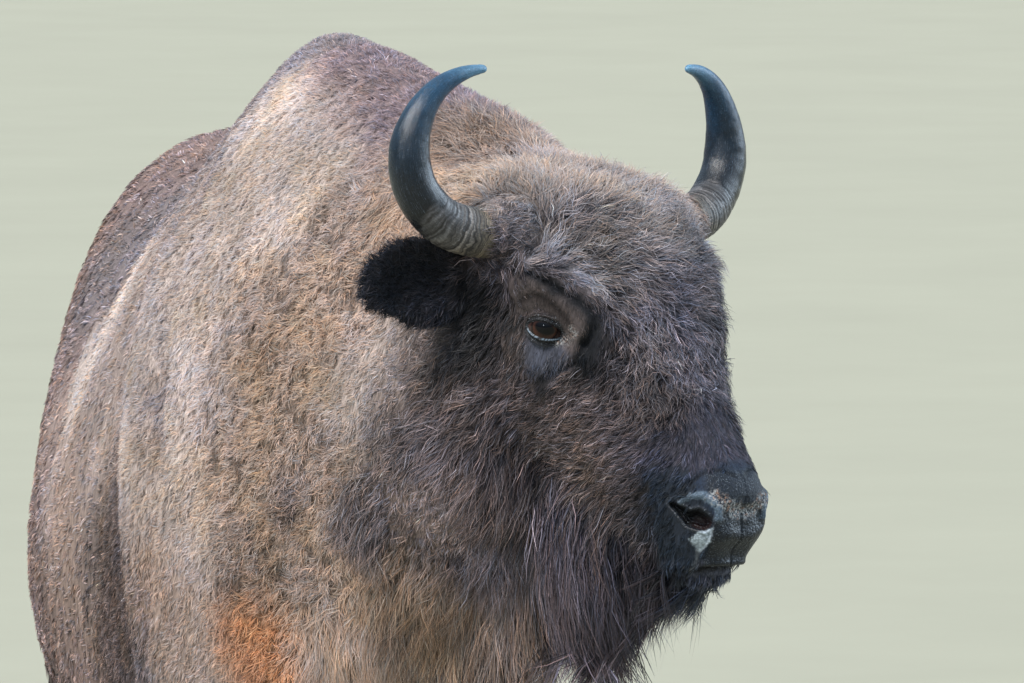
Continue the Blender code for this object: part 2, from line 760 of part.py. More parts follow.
def build():
    discard(*bpy.data.objects)
    parts = flesh()
    for label, side in (("l", 1), ("r", -1)):
        parts["eye_" + label] = eye("eye_" + label, side)
        parts["horn_" + label] = horn("horn_" + label, side)
        carve(parts["head"], parts["eye_" + label])
        carve(parts["head"], parts["horn_" + label])
        parts["ear_" + label] = carve(ear("ear_" + label, side), parts["head"])
        carve(parts["ear_" + label], parts["horn_" + label])

    slice_off(parts["tail"], (0, 0, TUFT_TOP), -UP)
    parts["tail_tuft"] = tail_tuft()

    for name, (_, side, _) in LEGS.items():
        foot = foot_place(name)
        for label, way in (("outer", side), ("inner", -side)):
            hoof_name = f"claw_{name}_{label}"
            parts[hoof_name] = claw(hoof_name, foot, way)
            spur_name = f"dewclaw_{name}_{label}"
            parts[spur_name] = carve(dewclaw(spur_name, foot, way), parts[name])
    centre_on_floor(parts)
    paint(parts)


build()
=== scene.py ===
"""Looks for the wisent: one skin under a mesh coat, with modelled eyes, horns, muzzle and hooves.

The skin is one surface over all the flesh, drawn in by the coat's depth. Every vertex carries how the
coat grows there: its lie, depth, length, curl and colour. The tufts are thin tapering blades in clumps,
rooted in the skin, and they take all of that, colour too, from the place where they stand.
"""

import math
from contextlib import contextmanager

import bmesh
import bpy
import numpy as np
from mathutils import Matrix, Vector
from mathutils.bvhtree import BVHTree


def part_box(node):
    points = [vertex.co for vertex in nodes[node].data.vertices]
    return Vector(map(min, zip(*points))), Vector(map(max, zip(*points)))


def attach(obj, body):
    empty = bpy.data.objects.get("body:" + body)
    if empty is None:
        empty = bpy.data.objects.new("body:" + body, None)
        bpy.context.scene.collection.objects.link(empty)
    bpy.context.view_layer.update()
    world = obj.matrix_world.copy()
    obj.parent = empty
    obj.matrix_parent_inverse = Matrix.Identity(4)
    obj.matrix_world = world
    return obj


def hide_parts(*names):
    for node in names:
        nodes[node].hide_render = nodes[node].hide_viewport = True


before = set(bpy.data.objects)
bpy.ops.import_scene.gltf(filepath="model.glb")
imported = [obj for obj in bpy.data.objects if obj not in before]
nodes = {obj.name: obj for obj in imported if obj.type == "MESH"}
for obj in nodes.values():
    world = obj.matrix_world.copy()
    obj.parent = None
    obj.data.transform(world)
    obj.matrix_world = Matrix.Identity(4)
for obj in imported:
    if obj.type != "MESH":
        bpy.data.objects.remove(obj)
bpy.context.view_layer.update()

# The head's place and pose, as in the CAD: X along the face, Y to the animal's left, Z out of the forehead.
HEAD_TURN, HEAD_DIP, HEAD_TILT = 36.0, 46.7, 2.0
EYE_RADIUS = 0.0225
EYE_PLACE = (0.124, 0.112, -0.048)
HORN_ARC_RADII = {"l": 0.0865, "r": 0.0925}
HORN_ARC_CENTRE = (0.158, 0.073)
HORN_SET_BACK, HORN_LEAN_BACK = 0.007, 0.025
HORN_SHARES = (0.0, 0.17, 0.30, 0.49, 0.585, 0.68, 0.76, 0.85, 0.93, 1.0)  # along the horn
HORN_RADII = (0.0300, 0.0290, 0.0278, 0.0260, 0.0238, 0.0195, 0.0156, 0.0115, 0.0078, 0.0042)
HORN_BULGES = (0.0, 0.0, 0.0020, 0.0040, 0.0025, 0.0, 0.0, 0.0, 0.0, 0.0)  # how far its sweep swings wide
# The skin's collar round a horn: places out from the midplane, and its radii there.
COLLAR_OUT = (0.070, 0.100, 0.122, 0.138, 0.148, 0.152)
COLLAR_RADII = (0.046, 0.041, 0.037, 0.034, 0.0325, 0.028)
MIDPLANE = -0.0545  # of the trunk
CHIN_PLACE = (0.435, 0.0, -0.140)  # of the head
NAPE_PLACE = (0.080, -0.800, 1.612)

FLESH = ["head", "neck", "trunk", "tail", "foreleg_l", "foreleg_r", "hind_leg_l", "hind_leg_r"]
HANGING = ["beard", "throat_mane", "tail_tuft"]
EARS = ["ear_l", "ear_r"]
VOXEL = 0.0135
SWELL = 0.001  # so that the parts meet across the thin cuts between them
MASS_SHARES = {"beard": 0.80, "throat_mane": 0.72, "tail_tuft": 0.80}  # of hanging hair, from its top
# The camera's place in degrees: round from straight before the animal, and above level.
VIEW_TURN, VIEW_DROP = -6.3, 4.5
TOWARDS_VIEWER = np.array([math.sin(math.radians(VIEW_TURN)), -math.cos(math.radians(VIEW_TURN)), 0])
rng = np.random.default_rng(7)


# ---------------------------------------------------------------- small tools


def unit(v):
    return v / np.maximum(np.linalg.norm(v, axis=-1, keepdims=True), 1e-9)


def ramp(x, low, high):
    """A smooth step from 0 at low to 1 at high."""
    t = np.clip((x - low) / (high - low), 0, 1)
    return t * t * (3 - 2 * t)


def paleness(tone):
    return ramp(tone.mean(axis=1), 0.12, 0.34)


def bell(x, width):
    """1 at 0, and close to 0 from twice the width on, either way."""
    return np.exp(-((x / width) ** 2))


def lattice(cells, seed):
    """A number from -1 to 1 for each whole-number cell."""
    h = cells[..., 0] * 374761393 + cells[..., 1] * 668265263 + cells[..., 2] * 2147483647 + seed * 974711
    h = (h ^ (h >> 13)) * 1274126177
    h = (h ^ (h >> 16)) & 0xFFFFFF
    return h / 0x7FFFFF - 1.0


def noise(points, size, seed):
    """Smooth noise over space, from -1 to 1, its bumps about size across."""
    q = points / size
    cell = np.floor(q).astype(np.int64)
    t = q - cell
    t = t * t * (3 - 2 * t)
    total = np.zeros(len(points))
    for corner in range(8):
        step = np.array([corner & 1, corner >> 1 & 1, corner >> 2 & 1])
        weight = np.prod(np.where(step, t, 1 - t), axis=1)
        total += weight * lattice(cell + step, seed)
    return total * 1.4


def head_axes():
    turn, dip, tilt = (math.radians(v) for v in (HEAD_TURN, HEAD_DIP, HEAD_TILT))
    heading = np.array([math.sin(turn), -math.cos(turn), 0])
    side = np.array([math.cos(turn), math.sin(turn), 0])
    up = np.array([0, 0, 1.0])
    face = heading * math.cos(dip) - up * math.sin(dip)
    brow = heading * math.sin(dip) + up * math.cos(dip)
    left = side * math.cos(tilt) - brow * math.sin(tilt)
    brow = brow * math.cos(tilt) + side * math.sin(tilt)
    return np.array([face, left, brow])


DIP = math.radians(HEAD_DIP)
# Level ahead and straight up, in the head's axes.
LEVEL_AHEAD = np.array([math.cos(DIP), 0, math.sin(DIP)])
LEVEL_UP = np.array([-math.sin(DIP), 0, math.cos(DIP)])


def middle_of(node):
    low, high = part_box(node)
    return np.array((low + high) / 2)


AXES = head_axes()
EYE_MIDDLE = (middle_of("eye_l") + middle_of("eye_r")) / 2
HEAD_PLACE = EYE_MIDDLE - np.array([EYE_PLACE[0], 0, EYE_PLACE[2]]) @ AXES


def to_head(points):
    return (points - HEAD_PLACE) @ AXES.T


def from_head(points):
    return HEAD_PLACE + np.asarray(points, float) @ AXES


def from_level(forward, side, above):
    """A head point given level: forward along its heading, to its left, and straight up."""
    return from_head(forward * LEVEL_AHEAD + above * LEVEL_UP + (0, side, 0))


def read(items, name, width, kind=np.float32):
    """One vector of each of a mesh's items, as rows."""
    flat = np.empty(len(items) * width, kind)
    items.foreach_get(name, flat)
    return flat.reshape(-1, width)


def coordinates(mesh):
    return read(mesh.vertices, "co", 3).astype(float)


def normals_of(mesh):
    return read(mesh.vertices, "normal", 3).astype(float)


def edges_of(mesh):
    return read(mesh.edges, "vertices", 2, np.int32)


def place_vertices(mesh, points):
    mesh.vertices.foreach_set("co", points.astype(np.float32).ravel())
    mesh.update()


@contextmanager
def editing(mesh):
    """The mesh as a bmesh, written back at the end."""
    bm = bmesh.new()
    bm.from_mesh(mesh)
    yield bm
    bm.to_mesh(mesh)
    bm.free()


def new_object(name, data):
    obj = bpy.data.objects.new(name, data)
    bpy.context.scene.collection.objects.link(obj)
    return obj


def colour_layer(mesh, name, colours):
    layer = mesh.color_attributes.new(name, "FLOAT_COLOR", "POINT")
    rgba = np.ones((len(colours), 4), np.float32)
    rgba[:, :3] = colours
    layer.data.foreach_set("color", rgba.ravel())


def vector_layer(mesh, name, vectors):
    layer = mesh.attributes.new(name, "FLOAT_VECTOR", "POINT")
    layer.data.foreach_set("vector", vectors.astype(np.float32).ravel())


def finished(name, mesh, material):
    """An object of the mesh, smooth and all of one material."""
    mesh.shade_smooth()
    mesh.materials.clear()
    mesh.materials.append(material)
    return new_object(name, mesh)


def with_modifiers(obj):
    graph = bpy.context.evaluated_depsgraph_get()
    graph.update()
    mesh = bpy.data.meshes.new_from_object(obj.evaluated_get(graph))
    obj.modifiers.clear()
    obj.data = mesh
    return obj


# ---------------------------------------------------------------- the coat's plan

# How the coat grows: depth, length, blade width, curl, clump radius (all mm), blades per square metre in
# thousands, how far the tips of a clump gather, and how much the hairs scatter.
KINDS = {
    "crown": (24, 36, 0.9, 3, 6, 190, 0.45, 0.55),
    "frizz": (16, 29, 0.8, 3.6, 4.5, 210, 0.45, 0.5),
    "brow": (7, 15, 0.7, 1.2, 3.5, 280, 0.35, 0.28),
    "sleek": (10, 25, 0.8, 2.2, 4.5, 205, 0.5, 0.26),
    "short": (2.5, 9, 0.6, 0.3, 2.5, 300, 0.3, 0.14),
    "soft": (5, 15, 0.7, 0.9, 3, 270, 0.4, 0.2),
    "long": (16, 44, 0.85, 2.8, 6.5, 150, 0.55, 0.28),
    "wool": (12, 17, 0.9, 2.6, 5, 210, 0.5, 0.9),
    "ruff": (12, 38, 0.85, 3, 6, 200, 0.35, 0.75),
    "brush": (7, 12, 0.85, 0.8, 4.5, 188, 0.15, 0.55),
    "barrel": (6, 13, 1.5, 0.8, 6, 40, 0.2, 0.45),
    "belly": (14, 40, 2.2, 2, 12, 22, 0.55, 0.25),
    "leg": (6, 22, 2, 0.6, 8, 26, 0.35, 0.16),
    "shank": (2.5, 12, 1.6, 0.2, 6, 30, 0.25, 0.12),
    "ear": (9, 18, 0.7, 1.8, 3.2, 460, 0.4, 0.4),
    "sleeve": (5, 22, 0.8, 1.8, 4.5, 340, 0.4, 0.5),
    "tassel": (9, 60, 1.5, 1.5, 7, 90, 0.55, 0.12),
    "tail": (5, 22, 1.8, 0.6, 6, 50, 0.35, 0.14),
    "chin": (13, 70, 0.9, 2, 4.5, 330, 0.5, 0.22),
    "hang": (17, 80, 1.3, 3.6, 8, 95, 0.55, 0.19),
}
FIELDS = 8
DEPTH, LENGTH, DENSITY, DRAW, SCATTER = 0, 1, 5, 6, 7  # columns of a kind's numbers
TONE, LIE = slice(FIELDS, FIELDS + 3), slice(FIELDS + 3, None)  # the columns after them

# Tip colours, linear.
# The tones shade, hollow and fold are painted shade: the dark of creases, hollows and folds.
TONES = {
    "crown": (0.37, 0.295, 0.262),
    "pale": (0.43, 0.355, 0.325),
    "fore": (0.178, 0.15, 0.15),
    "frizz": (0.15, 0.126, 0.138),
    "brow": (0.31, 0.275, 0.3),
    "temple": (0.072, 0.058, 0.06),
    "shade": (0.014, 0.013, 0.015),
    "hollow": (0.003, 0.004, 0.007),
    "lid": (0.084, 0.066, 0.064),
    "cheek": (0.155, 0.118, 0.118),
    "bridge": (0.05, 0.046, 0.064),
    # Its blue is partly a painted bluish sheen on dark hair.
    "nose": (0.016, 0.026, 0.048),
    "tan": (0.335, 0.235, 0.187),
    "straw": (0.56, 0.41, 0.34),
    "face": (0.104, 0.084, 0.087),
    "ash": (0.46, 0.425, 0.44),
    "under": (0.062, 0.066, 0.09),
    "jowl": (0.14, 0.11, 0.116),
    "lip": (0.034, 0.038, 0.052),
    "cream": (0.59, 0.48, 0.43),
    "sable": (0.235, 0.175, 0.155),
    "throat": (0.26, 0.2, 0.205),
    "fawn": (0.25, 0.21, 0.206),
    "bark": (0.175, 0.128, 0.112),
    "muzzle": (0.014, 0.021, 0.034),
    "ear": (0.03, 0.028, 0.034),
    "beard": (0.06, 0.048, 0.058),
    "neck": (0.415, 0.335, 0.3),
    "wool": (0.45, 0.325, 0.258),
    "umber": (0.345, 0.245, 0.19),
    "ginger": (0.36, 0.272, 0.232),
    "rust": (0.54, 0.26, 0.14),
    "crest": (0.265, 0.19, 0.19),
    "plum": (0.235, 0.192, 0.192),
    "dusk": (0.17, 0.135, 0.13),
    "barrel": (0.35, 0.27, 0.24),
    "fold": (0.14, 0.096, 0.082),
    "rump": (0.25, 0.17, 0.15),
    "leg": (0.1, 0.07, 0.058),
    "shank": (0.07, 0.052, 0.044),
}

# Where the coat lies how, on the head: kind, tone, place along the face, to the left and out of the
# forehead, reach, and the lie in the same axes. These rows hold for one side only: the forehead's hair
# sweeps across to the left.
FOREHEAD = [
    ("crown", "crown", (-0.025, -0.099, 0.03), 0.05, (-0.69, 0.72, -0.06)),
    ("crown", "crown", (-0.059, -0.024, 0.022), 0.055, (-0.49, 0.8, -0.35)),
    ("crown", "crown", (-0.02, 0.083, 0.046), 0.055, (-0.37, 0.84, -0.38)),
    ("crown", "pale", (-0.005, 0.01, 0.055), 0.03, (-0.3, 0.9, -0.1)),
    ("crown", "ash", (0.028, 0.032, 0.066), 0.022, (-0.25, 0.92, -0.2)),
    ("crown", "ash", (0.045, 0.075, 0.06), 0.024, (-0.3, 0.9, -0.27)),
    ("crown", "fore", (0.04, -0.108, 0.042), 0.022, (-0.08, 0.93, 0.36)),
    ("crown", "fore", (0.012, -0.126, 0.024), 0.018, (-0.1, 0.8, 0.55)),
    ("crown", "fore", (0.055, -0.073, 0.059), 0.04, (-0.08, 0.93, 0.36)),
    ("crown", "fawn", (0.084, -0.062, 0.061), 0.018, (-0.08, 0.93, 0.36)),
    ("crown", "fawn", (0.077, -0.003, 0.068), 0.045, (-0.05, 1, 0)),
    ("crown", "fore", (0.057, 0.081, 0.058), 0.045, (-0.3, 0.9, -0.27)),
    ("frizz", "fore", (0.11, -0.06, 0.055), 0.035, (0.45, 0.85, 0)),
    ("frizz", "frizz", (0.154, -0.045, 0.047), 0.04, (0.9, 0.39, -0.19)),
    ("frizz", "frizz", (0.16, 0.02, 0.05), 0.04, (0.5, 0.82, -0.25)),
    ("frizz", "frizz", (0.15, 0.07, 0.04), 0.04, (0.55, 0.7, -0.35)),
]
# These hold on both sides, and are given for the right.
FACE = [
    ("crown", "fore", (0.071, -0.128, 0.025), 0.022, (0.1, 0.4, 0.6)),
    ("crown", "frizz", (0.035, -0.145, -0.002), 0.018, (0.1, 0.4, 0.6)),
    ("sleek", "jowl", (0, -0.13, -0.045), 0.03, (0.1, -0.4, -0.9)),
    ("sleek", "jowl", (0.045, -0.142, -0.03), 0.026, (0.25, -0.02, -0.97)),
    ("sleek", "shade", (0.052, -0.15, -0.09), 0.034, (0.25, -0.02, -0.97)),
    ("sleek", "shade", (0.091, -0.155, -0.135), 0.034, (0.32, -0.06, -0.94)),
    ("sleek", "temple", (0.082, -0.145, -0.075), 0.018, (0.32, -0.06, -0.94)),
    ("sleek", "temple", (0.13, -0.138, -0.112), 0.016, (0.32, -0.06, -0.94)),
    ("brow", "brow", (0.071, -0.15, 0.002), 0.012, (0.7, 0.35, 0.62)),
    ("brow", "brow", (0.088, -0.133, 0.02), 0.011, (0.79, 0.58, 0.19)),
    ("brow", "brow", (0.112, -0.113, 0.028), 0.012, (0.79, 0.58, 0.1)),
    ("brow", "brow", (0.138, -0.096, 0.033), 0.012, (0.85, 0.5, -0.1)),
    ("brow", "temple", (0.098, -0.138, 0.014), 0.009, (0.82, 0.5, -0.1)),
    ("brow", "temple", (0.122, -0.118, 0.02), 0.01, (0.85, 0.45, -0.2)),
    ("brow", "temple", (0.148, -0.1, 0.024), 0.01, (0.9, 0.3, -0.3)),
    ("frizz", "frizz", (0.16, -0.084, 0.03), 0.014, (0.94, 0.2, -0.25)),
    ("short", "lid", (0.082, -0.146, -0.03), 0.018, (0.75, 0.25, 0.1)),
    ("short", "lid", (0.1, -0.14, -0.02), 0.018, (0.75, 0.45, 0)),
    ("short", "lid", (0.128, -0.128, -0.004), 0.014, (0.8, 0.45, -0.1)),
    ("short", "lid", (0.152, -0.116, -0.006), 0.012, (0.8, 0.35, -0.4)),
    # These rows paint shade along the fold under the brow and down beside the eye.
    ("short", "shade", (0.076, -0.15, -0.01), 0.008, (0.8, 0.45, 0.1)),
    ("short", "shade", (0.096, -0.145, 0.004), 0.008, (0.8, 0.5, 0)),
    ("short", "hollow", (0.116, -0.131, 0.006), 0.008, (0.85, 0.45, -0.1)),
    ("short", "hollow", (0.134, -0.118, 0.01), 0.008, (0.85, 0.35, -0.2)),
    ("short", "hollow", (0.15, -0.108, 0.012), 0.008, (0.85, 0.2, -0.4)),
    ("short", "hollow", (0.166, -0.103, 0.01), 0.011, (0.8, 0, -0.6)),
    ("short", "hollow", (0.182, -0.098, 0.002), 0.016, (0.7, -0.2, -0.66)),
    ("soft", "hollow", (0.196, -0.104, -0.022), 0.018, (0.4, -0.25, -0.88)),
    ("soft", "lid", (0.104, -0.134, -0.068), 0.018, (0.5, 0, -0.86)),
    ("short", "under", (0.14, -0.126, -0.072), 0.02, (0.47, 0.05, -0.88)),
    ("soft", "under", (0.165, -0.118, -0.066), 0.018, (0.43, 0.1, -0.89)),
    ("soft", "shade", (0.18, -0.118, -0.092), 0.016, (0.43, 0.1, -0.89)),
    ("soft", "lid", (0.12, -0.134, -0.09), 0.02, (0.51, 0.02, -0.86)),
    ("short", "lid", (0.16, -0.118, -0.03), 0.012, (0.6, 0, -0.8)),
    ("frizz", "frizz", (0.205, -0.05, 0.027), 0.035, (0.93, 0.08, -0.36)),
    ("frizz", "face", (0.222, -0.08, -0.008), 0.022, (0.55, -0.35, -0.7)),
    ("frizz", "face", (0.26, -0.052, -0.002), 0.03, (0.89, -0.11, -0.45)),
    ("frizz", "frizz", (0.238, -0.006, 0.022), 0.035, (0.95, 0.05, -0.31)),
    ("soft", "bridge", (0.3, -0.008, 0.006), 0.03, (0.95, -0.1, -0.2)),
    ("soft", "bridge", (0.335, -0.025, -0.006), 0.02, (0.8, -0.4, -0.25)),
    ("soft", "bridge", (0.35, -0.03, -0.006), 0.016, (0.8, -0.4, -0.25)),
    ("short", "nose", (0.376, -0.025, -0.011), 0.018, (0.5, -0.81, -0.31)),
    ("soft", "bridge", (0.312, -0.066, -0.04), 0.024, (0.1, -0.22, -0.95)),
    ("soft", "muzzle", (0.34, -0.066, -0.062), 0.022, (0.1, -0.1, -0.99)),
    ("soft", "muzzle", (0.362, -0.064, -0.08), 0.024, (0.1, -0.1, -0.99)),
    ("soft", "muzzle", (0.388, -0.058, -0.098), 0.022, (0, -0.05, -1)),
    ("short", "muzzle", (0.412, -0.053, -0.094), 0.014, (0.1, -0.05, -0.98)),
    ("sleek", "lip", (0.35, -0.058, -0.123), 0.024, (-0.1, 0.1, -0.99)),
    ("soft", "muzzle", (0.41, -0.045, -0.128), 0.02, (0.35, 0.1, -0.93)),
    ("soft", "under", (0.442, -0.02, -0.122), 0.014, (0.55, 0, -0.83)),
    ("chin", "lip", (0.44, -0.01, -0.148), 0.018, (0.35, -0.1, -0.9)),
    ("chin", "beard", (0.425, -0.02, -0.168), 0.022, (0.35, -0.1, -0.9)),
    ("sleek", "cheek", (0.278, -0.083, -0.066), 0.03, (-0.14, -0.18, -0.97)),
    ("sleek", "cheek", (0.227, -0.087, -0.145), 0.045, (-0.47, 0.2, -0.83)),
    ("sleek", "temple", (0.325, -0.07, -0.115), 0.03, (-0.2, 0.1, -0.95)),
    ("sleek", "cheek", (0.285, -0.073, -0.13), 0.03, (-0.3, 0.15, -0.92)),
    ("sleek", "cheek", (0.21, -0.11, -0.08), 0.03, (-0.45, 0, -0.88)),
    ("sleek", "cheek", (0.15, -0.13, -0.16), 0.045, (-0.2, 0, -0.97)),
    ("long", "jowl", (0.1, -0.14, -0.2), 0.05, (0.05, -0.1, -0.95)),
    ("long", "cheek", (0.19, -0.105, -0.235), 0.05, (0.12, 0.08, -0.96)),
    ("long", "throat", (0.245, -0.08, -0.34), 0.035, (0.35, 0.05, -0.94)),
    ("long", "face", (0.27, -0.07, -0.2), 0.045, (0.15, 0.05, -0.98)),
    ("sleek", "face", (0.345, -0.055, -0.15), 0.03, (0.1, 0.05, -0.97)),
    ("chin", "beard", (0.4, -0.03, -0.155), 0.022, (0.25, -0.1, -0.95)),
    ("long", "face", (0.25, 0, -0.225), 0.06, (0.6, 0, -0.8)),
    ("long", "dusk", (0.06, 0, -0.25), 0.08, (0.6, 0, -0.8)),
    ("brush", "crown", (-0.11, -0.08, -0.04), 0.06, (-0.68, -0.2, -0.7)),
    ("brush", "wool", (-0.1, -0.13, -0.12), 0.05, (0.1, 0, -1)),
    ("brush", "dusk", (0.03, -0.15, -0.19), 0.05, (0.1, 0, -1)),
]
# The rest of the body, in metres from the trunk's midplane, again for the right side and mirrored.
BODY = [
    ("brush", "crest", (0, -0.57, 1.67), 0.07, (-0.45, 0.6, -0.25)),
    ("brush", "crest", (0.06, -0.72, 1.66), 0.07, (-0.5, 0.45, -0.4)),
    ("brush", "neck", (-0.07, -0.64, 1.58), 0.08, (-0.38, 0.4, -0.8)),
    ("ruff", "umber", (0.12, -0.83, 1.61), 0.07, (-0.5, 0.45, -0.4)),
    ("ruff", "wool", (0.06, -0.9, 1.56), 0.08, (-0.5, 0.35, -0.6)),
    ("brush", "neck", (-0.12, -0.6, 1.53), 0.09, (-0.3, 0.4, -0.85)),
    ("wool", "ginger", (-0.05, -0.8, 1.5), 0.05, (-0.35, 0.3, -0.9)),
    ("brush", "neck", (-0.19, -0.46, 1.43), 0.11, (-0.15, 0.4, -0.9)),
    ("wool", "wool", (-0.05, -0.84, 1.42), 0.07, (-0.3, 0.25, -0.92)),
    ("wool", "wool", (-0.15, -0.66, 1.37), 0.1, (-0.2, 0.25, -0.93)),
    ("wool", "wool", (-0.08, -0.81, 1.36), 0.06, (-0.25, 0.3, -0.92)),
    ("brush", "neck", (-0.05, -0.87, 1.31), 0.06, (-0.3, 0.45, -0.85)),
    ("wool", "wool", (-0.17, -0.66, 1.23), 0.09, (-0.15, 0.28, -0.94)),
    ("wool", "wool", (-0.09, -0.81, 1.22), 0.07, (-0.2, 0.35, -0.9)),
    ("brush", "neck", (-0.2, -0.61, 1.12), 0.06, (-0.1, 0.35, -0.93)),
    ("wool", "umber", (-0.15, -0.69, 1.1), 0.06, (-0.1, 0.3, -0.95)),
    ("wool", "wool", (-0.07, -0.81, 1.11), 0.06, (-0.15, 0.3, -0.95)),
    ("brush", "ginger", (-0.21, -0.59, 1), 0.07, (-0.1, 0.25, -0.96)),
    ("wool", "rust", (-0.15, -0.69, 1.02), 0.05, (-0.1, 0.25, -0.96)),
    ("long", "straw", (-0.05, -0.8, 1.01), 0.06, (-0.05, 0.2, -0.97)),
    ("brush", "dusk", (0, -0.94, 1.28), 0.05, (-0.36, 0.5, -0.78)),
    ("brush", "sable", (0.03, -0.94, 1.17), 0.06, (-0.3, 0.4, -0.85)),
    ("long", "umber", (0.004, -0.85, 1.046), 0.05, (-0.2, 0.25, -0.95)),
    ("long", "umber", (0.022, -0.896, 1.098), 0.04, (-0.2, 0.25, -0.95)),
    ("long", "umber", (0.05, -0.86, 1.03), 0.08, (-0.2, 0.25, -0.95)),
    ("brush", "bark", (-0.2365, -0.49, 1.29), 0.045, (-0.1, 0.45, -0.88)),
    ("brush", "bark", (-0.2385, -0.51, 1.22), 0.045, (-0.05, 0.4, -0.9)),
    ("brush", "cream", (-0.155, -0.6, 1.43), 0.05, (-0.2, 0.4, -0.9)),
    ("brush", "cream", (-0.1675, -0.61, 1.37), 0.05, (-0.2, 0.4, -0.9)),
    ("brush", "cream", (-0.2005, -0.55, 1.3), 0.045, (-0.15, 0.4, -0.9)),
    ("brush", "cream", (-0.2035, -0.58, 1.22), 0.045, (-0.1, 0.35, -0.93)),
    # Painted shade in the fold low on the neck's front.
    ("wool", "fold", (-0.1045, -0.777, 1.168), 0.03, (-0.15, 0.3, -0.95)),
    ("long", "dusk", (-0.0355, -0.871, 1.157), 0.04, (-0.2, 0.25, -0.95)),
    ("barrel", "bark", (-0.2765, -0.142, 1.06), 0.08, (-0.02, 0.72, -0.69)),
    ("brush", "sable", (-0.2545, -0.244, 1.168), 0.07, (-0.05, 0.6, -0.8)),
    ("brush", "bark", (-0.2585, -0.281, 1.112), 0.07, (-0.05, 0.6, -0.8)),
    ("barrel", "cream", (-0.2595, 0.18, 1.249), 0.07, (-0.02, 0.72, -0.69)),
    ("barrel", "cream", (-0.2255, 0.1, 1.337), 0.07, (-0.02, 0.72, -0.69)),
    ("brush", "cream", (-0.1125, -0.445, 1.594), 0.06, (-0.3, 0.45, -0.75)),
    ("brush", "cream", (-0.1125, -0.659, 1.492), 0.05, (-0.3, 0.4, -0.85)),
    ("brush", "cream", (-0.0825, -0.547, 1.618), 0.045, (-0.38, 0.4, -0.8)),
    ("brush", "crest", (-0.0145, -0.664, 1.629), 0.045, (-0.5, 0.45, -0.4)),
    ("brush", "cream", (-0.1705, -0.642, 1.295), 0.045, (-0.15, 0.4, -0.9)),
    ("wool", "straw", (-0.0355, -0.87, 1.409), 0.045, (-0.3, 0.25, -0.92)),
    ("brush", "neck", (-0.0095, -0.916, 1.373), 0.045, (-0.3, 0.45, -0.85)),
    ("long", "face", (0.0185, -0.956, 1.259), 0.035, (-0.3, 0.45, -0.85)),
    ("brush", "ginger", (-0.0025, -0.933, 1.311), 0.03, (-0.3, 0.45, -0.85)),
    ("barrel", "barrel", (-0.2985, 0.211, 1.117), 0.08, (-0.02, 0.72, -0.69)),
    ("barrel", "barrel", (-0.2875, 0.352, 1.166), 0.08, (-0.02, 0.72, -0.69)),
    ("brush", "neck", (-0.23, -0.47, 1.33), 0.1, (-0.1, 0.45, -0.88)),
    ("brush", "neck", (-0.24, -0.53, 1.17), 0.09, (-0.05, 0.4, -0.9)),
    ("brush", "plum", (-0.06, -0.25, 1.63), 0.14, (-0.4, 0.75, -0.5)),
    ("barrel", "plum", (-0.05, 0.1, 1.59), 0.16, (-0.25, 0.92, -0.25)),
    ("barrel", "barrel", (-0.22, -0.2, 1.45), 0.14, (-0.1, 0.72, -0.65)),
    ("barrel", "barrel", (-0.26, -0.06, 1.24), 0.18, (-0.02, 0.72, -0.69)),
    ("barrel", "tan", (-0.3, 0.03, 1.06), 0.13, (-0.02, 0.72, -0.69)),
    ("brush", "tan", (-0.25, -0.54, 1.06), 0.08, (-0.05, 0.35, -0.93)),
    # Painted shade behind the shoulder, low on the flank.
    ("brush", "fold", (-0.26, -0.28, 1.02), 0.12, (-0.02, 0.55, -0.83)),
    ("brush", "dusk", (-0.24, -0.38, 0.86), 0.12, (0, 0.3, -0.95)),
    ("barrel", "rump", (-0.28, 0.1, 0.9), 0.16, (-0.02, 0.72, -0.69)),
    ("barrel", "plum", (-0.19, 0.45, 1.4), 0.17, (-0.05, 0.75, -0.6)),
    ("barrel", "rump", (-0.28, 0.4, 1.1), 0.2, (-0.02, 0.75, -0.65)),
    ("barrel", "rump", (-0.06, 0.55, 1.49), 0.16, (-0.25, 0.92, -0.2)),
    ("barrel", "rump", (-0.22, 0.85, 1.3), 0.22, (-0.05, 0.45, -0.88)),
    ("barrel", "rump", (-0.1, 1.08, 1.15), 0.15, (-0.1, 0.2, -0.97)),
    ("belly", "leg", (-0.05, 0.1, 0.68), 0.16, (-0.1, 0.75, -0.65)),
    ("belly", "leg", (-0.05, 0.45, 0.7), 0.16, (-0.1, 0.75, -0.65)),
    ("belly", "leg", (-0.08, -0.3, 0.74), 0.12, (-0.05, 0.45, -0.88)),
    ("leg", "leg", (-0.16, -0.42, 0.66), 0.12, (0, 0.2, -0.98)),
    ("leg", "leg", (-0.17, 0.78, 0.8), 0.16, (0, 0.25, -0.96)),
    ("shank", "shank", (-0.15, -0.45, 0.38), 0.14, (0, 0.08, -1)),
    ("shank", "shank", (-0.15, -0.47, 0.1), 0.12, (0, 0.05, -1)),
    ("shank", "shank", (-0.15, 0.92, 0.45), 0.16, (0, 0.08, -1)),
    ("shank", "shank", (-0.15, 0.88, 0.1), 0.12, (0, 0.05, -1)),
]


def neck_bend(y):
    """Where the body's own midline lies at each y: the neck swings over to meet the turned head."""
    return MIDPLANE + 0.225 * ramp(-y, 0.42, 0.98)


def growth_rows():
    """Every row above in world axes: its place, its reach, its kind's numbers, its tone and its lie."""
    rows = []

    def add(kind, tone, place, reach, lie):
        rows.append((*place, reach, *KINDS[kind], *TONES[tone], *unit(np.array(lie))))

    for kind, tone, place, reach, lie in FOREHEAD:
        add(kind, tone, from_head(place), reach, np.array(lie) @ AXES)
    for side in (1, -1):
        flip = np.array([1, side, 1])
        for kind, tone, place, reach, lie in FACE:
            add(kind, tone, from_head(place * flip), reach, (lie * flip) @ AXES)
        flip = np.array([-side, 1, 1])
        for kind, tone, place, reach, lie in BODY:
            middle = neck_bend(place[1])
            out = (place[0] + MIDPLANE - middle) * -side
            add(kind, tone, (middle + out, place[1], place[2]), reach, lie * flip)
    return np.array(rows)


